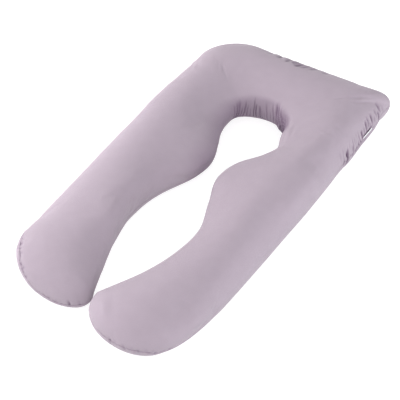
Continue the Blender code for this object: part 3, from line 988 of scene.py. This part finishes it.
for station, *sizes in ZIP_SIDE_FOLDS:
    fold_in(run_at(HALF_WIDTH, station), *sizes)
for x, station, *sizes in LEG_END_FOLDS:
    fold_in(run_at(x, station), 0.0, *sizes)
print(len(ZIP_SIDE_FOLDS), "folds beside the zip and", len(LEG_END_FOLDS), "at the leg ends")

# %% Small puckers all along the seam
PUCKER_EVERY = 0.007
PUCKER_BASE = 0.0003
PUCKER_START = 0.004
PUCKER_STOP = 0.010  # the row ends this far before the seam closes
UNEVEN_DEPTH = (0.4, 1.4)
UNEVEN_STEP = (0.6, 1.5)
PUCKER_HALF_WIDTH = (0.0022, 0.0036)
PUCKER_LEAN = 0.3
PUCKER_ABOVE, PUCKER_BELOW = (0.008, 0.020), (0.008, 0.018)

# Where the seam puckers more: place, radius and added depth.
Puckered = namedtuple("Puckered", "x station radius depth")
PUCKERED = [Puckered(*row) for row in (
    (-0.292, 0.115, 0.065, 0.0058), (-0.235, 0.065, 0.060, 0.0026), (-0.110, 0.045, 0.060, 0.0016),
    (0.200, 0.010, 0.120, 0.0016), (0.325, 1.110, 0.090, 0.0024), (0.325, 1.230, 0.050, 0.0016),
    (-0.040, 1.315, 0.110, 0.0036), (0.120, 1.320, 0.100, 0.0012),
)]


def pucker_depth(spot):
    """Depth of the small puckers at a point of the seam."""
    away = [math.hypot(spot[0] - row.x, spot[1] - station_to_y(row.station)) / row.radius for row in PUCKERED]
    return PUCKER_BASE + max(row.depth * math.exp(-(d**2)) for row, d in zip(PUCKERED, away))


chance = np.random.default_rng(7)
where, puckers = PUCKER_START, 0
while where < seam_length - PUCKER_STOP:
    depth = pucker_depth(seam_points[int(where / SEAM_STEP)]) * chance.uniform(*UNEVEN_DEPTH)
    half_width = chance.uniform(*PUCKER_HALF_WIDTH)
    lean = chance.uniform(-PUCKER_LEAN, PUCKER_LEAN)
    fold_in(where, 0.0, chance.uniform(*PUCKER_ABOVE), depth, half_width, lean)
    fold_in(where, 0.0, -chance.uniform(*PUCKER_BELOW), depth, half_width, -lean)
    where += PUCKER_EVERY * chance.uniform(*UNEVEN_STEP)
    puckers += 1
print(puckers, "small puckers")

# %% Fine puckers beside the zip
ZIP_SIDE_FROM, ZIP_SIDE_TO = 1.19, 0.975
ZIP_PUCKER_EVERY, ZIP_PUCKER_JITTER = 0.0064, 0.0012
ZIP_PUCKER_HALF_WIDTH = 0.0019
ZIP_PUCKER_START = 0.006  # above the seam they begin this far up, over the tape
# Each row: how far they reach, how deep they are and how they lean, all within these limits.
BELOW_ZIP = ((0.026, 0.040), (0.0022, 0.0052), (-0.1, 0.2))
ABOVE_ZIP = ((0.024, 0.050), (0.0008, 0.0026), (-0.35, -0.2))

for where in np.arange(run_at(HALF_WIDTH, ZIP_SIDE_FROM), run_at(HALF_WIDTH, ZIP_SIDE_TO), ZIP_PUCKER_EVERY):
    where += chance.uniform(-ZIP_PUCKER_JITTER, ZIP_PUCKER_JITTER)
    for side, start, limits in ((-1, 0.0, BELOW_ZIP), (1, ZIP_PUCKER_START, ABOVE_ZIP)):
        reach, depth, lean = (chance.uniform(*limit) for limit in limits)
        fold_in(where, start, side * reach, depth, ZIP_PUCKER_HALF_WIDTH, lean)
print("deepest valley", round(float(depths.max()) * 1000, 1), "mm")

# %% Painted shade where the cloth is gathered so tight that little light gets in
CREST_AWAY = 0.090
SHADE_AT_SEAM, SHADE_LOST = 1.45, 0.80  # the painted shade is deepest at the seam and loses so much by the crest
FLAT_UNDERSIDE, TURNING_UNDER = -0.98, -0.74  # upward part of the normal: where the painted shade has gone, and where it is whole
RUN_PER_DEGREE = 0.0016  # past the neck, a degree stands for this length of a leg's seam

# How dark the neck's wall is painted by direction: degrees, share of painted shade, height of the crest, and the fade
# below it.
NECK_SHADES = (
    (-20, 0.0, 0.085, 0.012), (-4, 0.50, 0.088, 0.012), (8, 0.78, 0.083, 0.012), (25, 0.84, 0.086, 0.012),
    (45, 0.64, 0.091, 0.012), (75, 0.42, 0.090, 0.012), (105, 0.34, 0.088, 0.012), (125, 0.34, 0.086, 0.012),
    (145, 0.46, 0.080, 0.016), (165, 0.54, 0.076, 0.026), (185, 0.50, 0.080, 0.040), (235, 0.46, 0.092, 0.060),
    (345, 0.48, 0.100, 0.070), (395, 0.0, 0.080, 0.055),
)


def neck_run(degrees):
    """How far along the seam this direction round the neck lies; below 0 and past 180 it is on a leg."""
    past_neck = max(degrees - 180.0, 0.0) + min(degrees, 0.0)
    return run_at(*neck_outline(np.radians([np.clip(degrees, 0.0, 180.0)]))[0]) + RUN_PER_DEGREE * past_neck


shade_runs = [neck_run(row[0]) for row in NECK_SHADES]
share, crest_at, fade = (np.interp(point_run, shade_runs, column) for column in list(zip(*NECK_SHADES))[1:])
below_crest = np.clip((crest_at - np.abs(point_away)) / fade, 0, 1)
deeper = SHADE_AT_SEAM - SHADE_LOST * np.abs(point_away) / CREST_AWAY
on_wall = np.clip((normals[:, 2] - FLAT_UNDERSIDE) / (TURNING_UNDER - FLAT_UNDERSIDE), 0, 1)
# painted shade on the neck's wall: deepest at the seam, gone past the crest and on the flat underside
shade_painted_on_neck_wall = share * below_crest * deeper * on_wall
print("the neck's shade runs from", shade_runs[0].round(3), "to", shade_runs[-1].round(3), "m along the seam")

# %% [markdown]
# ## The seam's groove and the zip's slot
#
# The stitches pull the two panels into a narrow groove. Beside the head's short edge, the groove opens
# into a slot, where a short zip closes the cover: the cloth turns in along both sides of the tape. Its
# slider is tucked under the cloth at one end and doesn't show.

# %% Groove and slot
GROOVE_DEPTH = 0.0022
GROOVE_HALF_WIDTH = 0.0012
GROOVE_POWER = 1.5
zip_low, zip_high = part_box("zip")
ZIP_MIDDLE = (zip_low[1] + zip_high[1]) / 2
ZIP_HALF_LENGTH = (zip_high[1] - zip_low[1]) / 2
SLOT_HALF_HEIGHT = 0.0039
SLOT_POWER = 3.0
SLOT_RISE = 0.0015  # the slot's middle lies this far above the seam, in front of the tape
SLOT_DEPTH = 0.0062
LIP_WIDTH = 0.0012
OVER_ZIP, OVER_ZIP_HALF_WIDTH = 0.0082, 0.0024  # a furrow runs this far above the seam, over the zip
OVER_ZIP_DEPTH = 0.0050
OVER_ZIP_END, OVER_ZIP_FADE = 1.25, 0.3  # as shares of the zip's half length

groove = GROOVE_DEPTH * np.exp(-((np.abs(point_away) / GROOVE_HALF_WIDTH) ** GROOVE_POWER))
past_middle = np.abs(point_run - run_at(HALF_WIDTH, ZIP_MIDDLE + STATION_OF_ORIGIN)) / ZIP_HALF_LENGTH
slot_half = SLOT_HALF_HEIGHT * superellipse(past_middle, SLOT_POWER)
within = np.clip((slot_half - np.abs(point_away - SLOT_RISE)) / LIP_WIDTH + 0.5, 0, 1)
slot = np.where(past_middle < 1, SLOT_DEPTH * smooth(within), 0)
over_zip = OVER_ZIP_DEPTH * np.exp(-(((point_away - OVER_ZIP) / OVER_ZIP_HALF_WIDTH) ** 2))
over_zip *= np.clip((OVER_ZIP_END - past_middle) / OVER_ZIP_FADE, 0, 1)
depths = np.maximum(depths + groove + over_zip, slot)
print("slot", round(2000 * ZIP_HALF_LENGTH), "mm long, over", int((slot > 0.001).sum()), "points")

# %% Creases on the panels
FOLD_DEPTH_FOR_FULL_PAINTED_SHADE = 0.005  # at this depth in a fold the painted shade is whole, as cloth this far down gets hardly any light

# The first four are slack creases at the leg ends, the next eight are puckers that reach up over the head's
# far edge, and the last two are pulls beside the zip. A turn is in degrees from +X.
# shade is the share of painted shade laid along the crease
Crease = namedtuple("Crease", "x station turn length half_width depth shade")
CREASES = [Crease(*row) for row in (
    (0.266, 0.183, 35, 0.030, 0.010, 0.0030, 0.0),
    (0.306, 0.195, 60, 0.022, 0.008, 0.0026, 0.0),
    (0.075, 0.050, 130, 0.060, 0.010, -0.0025, 0.0),
    (0.090, 0.070, 130, 0.050, 0.009, 0.0018, 0.0),
    (0.003, 1.262, 82, 0.052, 0.0075, 0.0100, 0.9),
    (-0.015, 1.268, 75, 0.044, 0.0060, 0.0060, 0.6),
    (-0.040, 1.264, 95, 0.050, 0.0065, 0.0060, 0.5),
    (-0.075, 1.270, 100, 0.046, 0.0065, 0.0060, 0.3),
    (-0.112, 1.274, 98, 0.040, 0.0070, 0.0040, 0.3),
    (0.026, 1.262, 75, 0.048, 0.0070, 0.0060, 0.4),
    (0.052, 1.270, 80, 0.044, 0.0075, 0.0050, 0.5),
    (0.095, 1.274, 88, 0.040, 0.0090, 0.0036, 0.2),
    (0.272, 1.045, 0, 0.060, 0.010, 0.0016, 0.0),
    (0.268, 1.005, -6, 0.064, 0.010, 0.0016, 0.0),
)]

points = settled_grid.reshape(-1, 3)
# Painted shade: the cloth's colour darkens with the depth of its folds, on the neck's wall and along some creases.
shade_painted_in_folds = np.clip(depths / FOLD_DEPTH_FOR_FULL_PAINTED_SHADE + shade_painted_on_neck_wall, 0, 1)
for crease in CREASES:
    turn = math.radians(crease.turn)
    east, north = points[:, 0] - crease.x, points[:, 1] - station_to_y(crease.station)
    along = (east * math.cos(turn) + north * math.sin(turn)) / (crease.length / 2)
    across = (north * math.cos(turn) - east * math.sin(turn)) / crease.half_width
    crease_at = (point_away >= 0) * np.exp(-(along**4) - across**2)
    depths += crease.depth * crease_at
    shade_painted_in_folds = np.maximum(shade_painted_in_folds, crease.shade * crease_at)

print(len(CREASES), "creases; the deepest place is now", round(1000 * float(depths.max()), 1), "mm down")

# %% Press the folds into the cloth
# painted shade given to the two tip points
PAINTED_SHADE_AT_TIPS = 0.3

shaped = points - normals * depths[:, None]
shaped[:, 2] = np.maximum(shaped[:, 2], 0)
shaped_grid = shaped.reshape(settled_grid.shape)

pillow = skin("pillow_cover", shaped_grid, TIPS)
# The painted shade is stored on the points, where the cloth's material darkens its colour by it.
painted_shade_attribute = pillow.data.attributes.new("painted_shade_attribute", "FLOAT", "POINT")
painted_shade_attribute.data.foreach_set("value", np.concatenate([shade_painted_in_folds, [PAINTED_SHADE_AT_TIPS] * 2]).astype(np.float32))
print(pillow.name, len(pillow.data.polygons), "faces")

# %% [markdown]
# ## A flat map of each panel
#
# A knit follows the cloth, not the room: its ribs, the wales, run along the panel even where the cloth
# bends down over a leg's end. A map that is unrolled from the rings gives just that. Each point's place
# is the middle of its ring plus its distance from there, measured over the cloth, so both directions are
# real metres and the stitches keep their size everywhere.

# %% Unroll a panel
def unrolled(grid, inner_column, outer_column, step):
    """(u, v) in metres for the columns from the inner to the outer seam, counted round the ring by step."""
    columns = np.arange(inner_column, outer_column + step, step) % grid.shape[1]
    rows = grid[:, columns]
    steps = np.linalg.norm(np.diff(rows, axis=1), axis=2)
    over = np.concatenate([np.zeros((len(rows), 1)), np.cumsum(steps, 1)], 1)
    across = rows[:, -1, :2] - rows[:, 0, :2]
    across /= np.maximum(np.linalg.norm(across, axis=1, keepdims=True), 1e-9)
    middle = rows[:, len(columns) // 2]
    strides = np.linalg.norm(np.diff(middle, axis=0), axis=1)
    plan = np.diff(middle[:, :2], axis=0)
    plan *= (strides / np.maximum(np.linalg.norm(plan, axis=1), 1e-9))[:, None]
    spine = np.concatenate([np.zeros((1, 2)), np.cumsum(plan, 0)])
    from_middle = over - over[:, [len(columns) // 2]]
    return columns, spine[:, None] + from_middle[..., None] * across[:, None]


under_map = unrolled(shaped_grid, shaped_grid.shape[1], OUTER, -1)[1]
print("the underside unrolls to", np.ptp(under_map.reshape(-1, 2), axis=0).round(3), "m")


# %% Write the map
UNDER_SHIFT = 1.0  # the underside's map lies this far from the top panel's


def read_all(owner, name):
    """One whole-number property of every item of a mesh's list, as an array."""
    made = np.empty(len(owner), np.int32)
    owner.foreach_get(name, made)
    return made


def lower_column(a, b, size):
    """The lower of two neighbouring columns, counted round a ring of this size."""
    return np.where(np.abs(a - b) > size // 2, size - 1, np.minimum(a, b))


def map_panels(mesh, grid):
    """Writes the UV map "panel": the top panel's faces take one unrolling and the underside's the other."""
    rings, size = grid.shape[:2]
    top_columns, top = unrolled(grid, 0, OUTER, 1)
    under_columns, under = unrolled(grid, size, OUTER, -1)
    under += UNDER_SHIFT
    place = np.zeros((2, rings * size + 2, 2))
    index = np.arange(rings * size).reshape(rings, size)
    place[0, index[:, top_columns]] = top
    place[1, index[:, under_columns]] = under
    for side, panel in enumerate((top, under)):
        place[side, -2:] = panel[0, panel.shape[1] // 2], panel[-1, panel.shape[1] // 2]
    corners = read_all(mesh.loops, "vertex_index")
    starts, sizes = read_all(mesh.polygons, "loop_start"), read_all(mesh.polygons, "loop_total")
    first, second, third = (corners[starts + i] % size for i in range(3))
    column = np.where(sizes == 3, lower_column(first, second, size), lower_column(first, third, size))
    side_of_corner = np.repeat((column >= OUTER).astype(int), sizes)
    flat = place[side_of_corner, corners].astype(np.float32).ravel()
    mesh.uv_layers.new(name="panel").uv.foreach_set("vector", flat)
    return top


top_map = map_panels(pillow.data, shaped_grid)
print("top panel unrolls to", np.ptp(top_map.reshape(-1, 2), axis=0).round(3), "m")

# %% [markdown]
# ## The cloth
#
# A fine cotton jersey, dyed a dusty mauve: from a step away it looks like brushed felt, with a soft
# lightening where the nap is seen edge on. Close up it is a knit of small V stitches. The knit is a node
# group built from the unrolled map by plain arithmetic, because a picture of a weave would repeat and
# blur. It puts out a height and two masks, and the material keeps the shader, the bumps and the sheen.

# %% Arithmetic and colours in a node tree
def math_node(tree, operation, a, b=None):
    """A Math node, fed by sockets or plain numbers. It returns its output."""
    node = tree.nodes.new("ShaderNodeMath")
    node.operation = operation
    for socket, value in zip(node.inputs, (a, b)):
        if value is None:
            continue
        if isinstance(value, (int, float)):
            socket.default_value = value
        else:
            tree.links.new(value, socket)
    return node.outputs[0]


def mix_colour(tree, factor, a, b, blend="MIX"):
    """A colour Mix node, fed by sockets or plain colours. It returns its output."""
    node = tree.nodes.new("ShaderNodeMix")
    node.data_type = "RGBA"
    node.blend_type = blend
    for name, value in (("Factor", factor), ("A", a), ("B", b)):
        socket = next(s for s in node.inputs if s.name == name and s.type == ("VALUE" if name == "Factor" else "RGBA"))
        if isinstance(value, (int, float)):
            socket.default_value = value
        elif isinstance(value, tuple):
            socket.default_value = (*value, 1.0)
        else:
            tree.links.new(value, socket)
    return next(s for s in node.outputs if s.type == "RGBA")


def ranging(tree, mask, low, span):
    """A value that runs from low by this span as the mask runs from 0 to 1."""
    return math_node(tree, "ADD", low, math_node(tree, "MULTIPLY", mask, span))


# %% Knit and heather as a node group
WALE, COURSE = 0.0011, 0.0008  # width of a column of stitches and height of a row
PATCH = 0.035  # size of the cloudy patches that dyeing leaves
HEATHER_SCALE, HEATHER_DETAIL, PATCH_DETAIL = 420.0, 2.0, 3.0
YARN_CORE = 0.35


def jersey_group():
    """Takes the map and the sizes of a stitch and a patch, in metres, and gives the yarn's height and two masks."""
    tree = bpy.data.node_groups.new("jersey", "ShaderNodeTree")
    tree.interface.new_socket(name="Map", in_out="INPUT", socket_type="NodeSocketVector")
    for name, start in (("Wale", WALE), ("Course", COURSE), ("Patch", PATCH)):
        tree.interface.new_socket(name=name, in_out="INPUT", socket_type="NodeSocketFloat").default_value = start
    for name in ("Height", "Heather", "Cloud"):
        tree.interface.new_socket(name=name, in_out="OUTPUT", socket_type="NodeSocketFloat")
    into, out = tree.nodes.new("NodeGroupInput"), tree.nodes.new("NodeGroupOutput")
    flat, wale, course, patch = (into.outputs[name] for name in ("Map", "Wale", "Course", "Patch"))
    parts = add_node(tree, "ShaderNodeSeparateXYZ", Vector=flat)
    across = math_node(tree, "FRACT", math_node(tree, "DIVIDE", parts.outputs["X"], wale))
    in_wale = math_node(tree, "ABSOLUTE", math_node(tree, "SUBTRACT", across, 0.5))
    slanted = math_node(tree, "ADD", math_node(tree, "DIVIDE", parts.outputs["Y"], course), in_wale)
    loops = math_node(tree, "ABSOLUTE", math_node(tree, "SINE", math_node(tree, "MULTIPLY", slanted, math.pi)))
    ribs = math_node(tree, "SINE", math_node(tree, "MULTIPLY", in_wale, 2 * math.pi))
    per_metre = math_node(tree, "DIVIDE", 1.0, patch)
    heather = add_node(tree, "ShaderNodeTexNoise", Vector=flat, Scale=HEATHER_SCALE, Detail=HEATHER_DETAIL)
    cloud = add_node(tree, "ShaderNodeTexNoise", Vector=flat, Scale=per_metre, Detail=PATCH_DETAIL)
    height = math_node(tree, "MULTIPLY", math_node(tree, "ADD", loops, YARN_CORE), ribs)
    fill_inputs(tree, out, Height=height, Heather=heather.outputs["Fac"], Cloud=cloud.outputs["Fac"])
    return tree


JERSEY = jersey_group()
print("node group", JERSEY.name, "with", len(JERSEY.nodes), "nodes")

# %% Cloth finish
CLOTH_COLOUR = (0.357, 0.298, 0.352)
# the colour where the painted shade is whole, deep in folds and on the neck's wall
PAINTED_SHADE_COLOUR = (0.160, 0.108, 0.166)
HEATHER_DARK = 0.90
CLOUD_DARK = 0.955
CLOTH_ROUGHNESS, HEATHER_ROUGHNESS = 0.76, 0.16
CLOTH_SHEEN, SHEEN_ROUGHNESS = 0.15, 0.5
CLOTH_SPECULAR = 0.25
KNIT_RELIEF, KNIT_STRENGTH = 0.00022, 0.7
WRINKLE_RELIEF, WRINKLE_STRENGTH = 0.0011, 0.5
WRINKLE_SCALE, WRINKLE_DETAIL = 42.0, 3.0


def cover_cloth():
    """The cover's jersey: darker deep in its folds and on the neck's wall by painted shade, with a heather, cloudy
    patches, knit and small wrinkles.
    """
    made, tree, shader = new_finish("cover_cloth")
    flat = tree.nodes.new("ShaderNodeUVMap")
    flat.uv_map = "panel"
    knit = tree.nodes.new("ShaderNodeGroup")
    knit.node_tree = JERSEY
    tree.links.new(flat.outputs["UV"], knit.inputs["Map"])
    # painted shade: the cloth's colour darkens by the shade stored on its points
    painted_shade_node = tree.nodes.new("ShaderNodeAttribute")
    painted_shade_node.attribute_name = "painted_shade_attribute"
    base = mix_colour(tree, painted_shade_node.outputs["Fac"], CLOTH_COLOUR, PAINTED_SHADE_COLOUR)
    for mask, dark in (("Heather", HEATHER_DARK), ("Cloud", CLOUD_DARK)):
        shade = mix_colour(tree, knit.outputs[mask], (dark,) * 3, (2 - dark,) * 3)
        base = mix_colour(tree, 1.0, base, shade, "MULTIPLY")
    place = add_node(tree, "ShaderNodeTexCoord").outputs["Object"]
    wrinkles = add_node(tree, "ShaderNodeTexNoise", Vector=place, Scale=WRINKLE_SCALE, Detail=WRINKLE_DETAIL)
    crumpled = add_node(
        tree, "ShaderNodeBump", Strength=WRINKLE_STRENGTH, Distance=WRINKLE_RELIEF, Height=wrinkles.outputs["Fac"]
    )
    yarn = add_node(
        tree, "ShaderNodeBump",
        Strength=KNIT_STRENGTH, Distance=KNIT_RELIEF, Height=knit.outputs["Height"], Normal=crumpled.outputs["Normal"],
    )
    fill_inputs(
        tree, shader,
        Base_Color=base, Roughness=ranging(tree, knit.outputs["Heather"], CLOTH_ROUGHNESS, HEATHER_ROUGHNESS),
        Sheen_Weight=CLOTH_SHEEN, Sheen_Roughness=SHEEN_ROUGHNESS, Specular_IOR_Level=CLOTH_SPECULAR,
        Normal=yarn.outputs["Normal"],
    )
    return made


pillow.data.materials.append(cover_cloth())
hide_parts("pillow")
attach(pillow, "root")
print("cover_cloth has", len(pillow.data.materials[0].node_tree.nodes), "nodes")

# %% [markdown]
# ## The stitches
#
# The panels are sewn inside out and turned, so what shows of the thread is a fine ladder of short bars
# across the bottom of the groove, pulled tight where the cover is full. There are some two thousand of
# them. Drawn one by one they would fill a page, so Geometry Nodes walk the seam's curve and set one bar
# at every pitch, square to the seam, and each keeps to a few dozen faces.

# %% A tree that sets bars along a curve
BAR_SIDES, BAR_RINGS = 6, 5


def bars_tree(name, finish, seed):
    """Bars of a given length at every pitch along a curve, square to it, each a little different in size."""
    tree = bpy.data.node_groups.new(name, "GeometryNodeTree")
    tree.interface.new_socket(name="Geometry", in_out="INPUT", socket_type="NodeSocketGeometry")
    for label in ("Pitch", "Length", "Thickness", "Unevenness"):
        tree.interface.new_socket(name=label, in_out="INPUT", socket_type="NodeSocketFloat")
    tree.interface.new_socket(name="Geometry", in_out="OUTPUT", socket_type="NodeSocketGeometry")
    into, out = tree.nodes.new("NodeGroupInput"), tree.nodes.new("NodeGroupOutput")
    curve, pitch, length, thickness, uneven = into.outputs[:5]
    points = add_node(tree, "GeometryNodeCurveToPoints", Curve=curve)
    points.mode = "LENGTH"
    tree.links.new(pitch, points.inputs["Length"])
    ball = add_node(tree, "GeometryNodeMeshUVSphere", Segments=BAR_SIDES, Rings=BAR_RINGS, Radius=0.5)
    size = add_node(tree, "ShaderNodeCombineXYZ", X=thickness, Y=length, Z=thickness)
    chance = tree.nodes.new("FunctionNodeRandomValue")
    chance.data_type = "FLOAT"
    chance.inputs["Seed"].default_value = seed
    for label, operation in (("Min", "SUBTRACT"), ("Max", "ADD")):
        limit = next(s for s in chance.inputs if s.name == label and s.type == "VALUE")
        tree.links.new(math_node(tree, operation, 1.0, uneven), limit)
    scaled = tree.nodes.new("ShaderNodeVectorMath")
    scaled.operation = "SCALE"
    fill_inputs(tree, scaled, Vector=size.outputs[0], Scale=next(s for s in chance.outputs if s.type == "VALUE"))
    placed = add_node(
        tree, "GeometryNodeInstanceOnPoints",
        Points=points.outputs["Points"], Instance=ball.outputs["Mesh"],
        Rotation=points.outputs["Rotation"], Scale=scaled.outputs[0],
    )
    real = add_node(tree, "GeometryNodeRealizeInstances", Geometry=placed.outputs[0])
    dressed = add_node(tree, "GeometryNodeSetMaterial", Geometry=real.outputs[0], Material=finish)
    fill_inputs(tree, out, Geometry=dressed.outputs[0])
    return tree


# %% Grow a tree on a curve
def curve_of(name, rows):
    """A poly curve through these points."""
    data = bpy.data.curves.new(name, "CURVE")
    data.dimensions = "3D"
    data.twist_mode = "Z_UP"
    spline = data.splines.new("POLY")
    spline.points.add(len(rows) - 1)
    spline.points.foreach_set("co", np.concatenate([rows, np.ones((len(rows), 1))], 1).astype(np.float32).ravel())
    return into_scene(name, data)


def grown(name, curve, tree, sizes):
    """The plain mesh that a tree grows on a curve. The curve and the modifier are gone afterwards."""
    grow = curve.modifiers.new("grow", "NODES")
    grow.node_group = tree
    for item in tree.interface.items_tree:
        if item.item_type == "SOCKET" and item.in_out == "INPUT" and item.name in sizes:
            grow[item.identifier] = sizes[item.name]
    ready = curve.evaluated_get(bpy.context.evaluated_depsgraph_get())
    mesh = bpy.data.meshes.new_from_object(ready)
    curve.modifiers.remove(grow)
    bpy.data.objects.remove(curve)
    mesh.name = name
    mesh.shade_smooth()
    return into_scene(name, mesh)


def print_box(piece):
    """Prints how many faces a piece has and its two far corners, in metres."""
    box = np.array(piece.bound_box)
    print(piece.name, len(piece.data.polygons), "faces, from", box.min(0).round(4), "to", box.max(0).round(4))


# %% Thread
STITCH_SIZES = {"Pitch": 0.0031, "Length": 0.0021, "Thickness": 0.00038, "Unevenness": 0.12}
THREAD_COLOUR = (0.40, 0.335, 0.395)
# the plies' colour: painted shade between them and a painted highlight on their backs
PLY_PAINTED_SHADE, PLY_PAINTED_HIGHLIGHT = 0.8, 1.15
PLY_SCALE, PLY_DISTORTION = 900.0, 1.5
PLY_RELIEF, PLY_STRENGTH = 0.0001, 0.5
THREAD_ROUGHNESS, PLY_SMOOTHER = 0.7, 0.15
THREAD_SHEEN = 0.2


def thread_finish():
    """Twisted thread: fine slanting plies along it, with a soft shine on their backs and a painted highlight there,
    and painted shade between them.
    """
    made, tree, shader = new_finish("sewing_thread")
    place = add_node(tree, "ShaderNodeTexCoord").outputs["Object"]
    plies = add_node(tree, "ShaderNodeTexWave", Vector=place, Scale=PLY_SCALE, Distortion=PLY_DISTORTION)
    plies.bands_direction = "DIAGONAL"
    ply = plies.outputs["Fac"]
    # painted shade between the plies and a painted highlight on their backs
    dark, light = (tuple(share * v for v in THREAD_COLOUR) for share in (PLY_PAINTED_SHADE, PLY_PAINTED_HIGHLIGHT))
    relief = add_node(tree, "ShaderNodeBump", Strength=PLY_STRENGTH, Distance=PLY_RELIEF, Height=ply)
    smoother = math_node(tree, "MULTIPLY", ply, PLY_SMOOTHER)
    fill_inputs(
        tree, shader,
        Base_Color=mix_colour(tree, ply, dark, light), Roughness=math_node(tree, "SUBTRACT", THREAD_ROUGHNESS, smoother),
        Normal=relief.outputs["Normal"], Sheen_Weight=THREAD_SHEEN,
    )
    return made


THREAD = thread_finish()
print("a stitch every", 1000 * STITCH_SIZES["Pitch"], "mm, thread", 1000 * STITCH_SIZES["Thickness"], "mm thick")

# %% Sew the seam, all but the zip
CLEAR_OF_ZIP = 0.003
ZIP_SIDE_X = 0.25  # only the seam beyond this x can be the zip's

sewn_points = seam_line(shaped_grid)[0]
beside_zip = np.abs(sewn_points[:, 1] - ZIP_MIDDLE) < ZIP_HALF_LENGTH + CLEAR_OF_ZIP
beside_zip &= sewn_points[:, 0] > ZIP_SIDE_X
last_of_zip = int(np.flatnonzero(beside_zip)[-1])
open_seam = np.roll(sewn_points, -last_of_zip - 1, 0)[: len(sewn_points) - int(beside_zip.sum())]
stitch_tree = bars_tree("stitches", THREAD, 3)
stitches = grown("seam_stitches", curve_of("seam_path", open_seam), stitch_tree, STITCH_SIZES)
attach(stitches, "root")
print_box(stitches)

# %% [markdown]
# ## The zip
#
# A short nylon zip closes the filling hole. Only a strip of it shows between the lips of the seam: white
# woven tape with a fine coil along its middle. The tape is a bent strip with rounded ends, and the coil
# is one loop after another, so Geometry Nodes set its teeth in the same way as the stitches.

# %% Form of the tape
TAPE_FRONT = zip_high[0] - 0.0005
TAPE_MIDDLE = (zip_low[2] + zip_high[2]) / 2
TAPE_HALF_HEIGHT = (zip_high[2] - zip_low[2]) / 2
TAPE_END_POWER = 6.0
TAPE_CURL, MOST_CURL = 0.0004, 0.0018


def tape_point(along, up):
    """A point on the tape, for along and up from -1 to 1: its edges and ends curl back a little."""
    curl = TAPE_CURL * (0.5 + 0.5 * up**2 + along**8)
    height = TAPE_HALF_HEIGHT * superellipse(along, TAPE_END_POWER) * up
    return TAPE_FRONT - min(curl, MOST_CURL), ZIP_MIDDLE + ZIP_HALF_LENGTH * along, TAPE_MIDDLE + height


print("the tape's middle is at", [round(float(v), 4) for v in tape_point(0, 0)])

# %% Woven finish
WARP, WEFT = 0.0006, 0.0008  # pitch of the threads along and across the tape
# painted shade in the hollows of the weave, as a share of the tape's colour
WEAVE_PAINTED_SHADE = 0.90
WEAVE_ROUGHNESS, WEAVE_ROUGHER = 0.55, 0.2
WEAVE_RELIEF, WEAVE_STRENGTH = 0.0001, 0.6


def woven_finish(name, colour):
    """A flat woven tape: fine warp ribs along it, crossed by the weft, with painted shade where the weave sinks."""
    made, tree, shader = new_finish(name)
    parts = add_node(tree, "ShaderNodeSeparateXYZ", Vector=add_node(tree, "ShaderNodeTexCoord").outputs["Object"])
    warp, weft = (
        math_node(tree, "SINE", math_node(tree, "MULTIPLY", parts.outputs[axis], 2 * math.pi / pitch))
        for axis, pitch in (("Z", WARP), ("Y", WEFT))
    )
    weave = ranging(tree, math_node(tree, "MULTIPLY", warp, weft), 0.5, 0.5)
    relief = add_node(tree, "ShaderNodeBump", Strength=WEAVE_STRENGTH, Distance=WEAVE_RELIEF, Height=weave)
    # painted shade: the colour darkens where the weave sinks
    fill_inputs(
        tree, shader,
        Base_Color=mix_colour(tree, weave, tuple(WEAVE_PAINTED_SHADE * v for v in colour), colour),
        Roughness=ranging(tree, weave, WEAVE_ROUGHNESS, WEAVE_ROUGHER), Normal=relief.outputs["Normal"],
    )
    return made


# %% Cut the tape
TAPE_THICKNESS = 0.0005
TAPE_ROWS, TAPE_COLUMNS = 60, 12
TAPE_END = 0.995
TAPE_COLOUR = (0.90, 0.90, 0.91)

tape_places = [(i, j) for i in np.linspace(-TAPE_END, TAPE_END, TAPE_ROWS) for j in np.linspace(-1, 1, TAPE_COLUMNS)]
tape_corners = [r * TAPE_COLUMNS + c for r in range(TAPE_ROWS - 1) for c in range(TAPE_COLUMNS - 1)]
tape_faces = [(i, i + TAPE_COLUMNS, i + TAPE_COLUMNS + 1, i + 1) for i in tape_corners]
tape = add_mesh("zip_tape", [tape_point(i, j) for i, j in tape_places], tape_faces)
tape.data.shade_smooth()
thicken = tape.modifiers.new("thickness", "SOLIDIFY")
thicken.thickness = TAPE_THICKNESS
thicken.offset = -1.0
tape.data.materials.append(woven_finish("zip_tape_white", TAPE_COLOUR))
print_box(tape)

# %% Coil
COIL_SIZES = {"Pitch": 0.0013, "Length": 0.0022, "Thickness": 0.0007, "Unevenness": 0.0}
COIL_COLOUR = (0.86, 0.86, 0.88)
COIL_END = 0.96
COIL_ROWS = 80
COIL_STANDS_OUT = 0.0004

coil_rows = np.array([tape_point(along, 0) for along in np.linspace(-COIL_END, COIL_END, COIL_ROWS)])
coil_rows[:, 0] += COIL_STANDS_OUT
coil_tree = bars_tree("coil", woven_finish("zip_coil_white", COIL_COLOUR), 5)
coil = grown("zip_coil", curve_of("coil_path", coil_rows), coil_tree, COIL_SIZES)
for piece in (tape, coil):
    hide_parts("zip")
    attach(piece, "root")
print_box(coil)
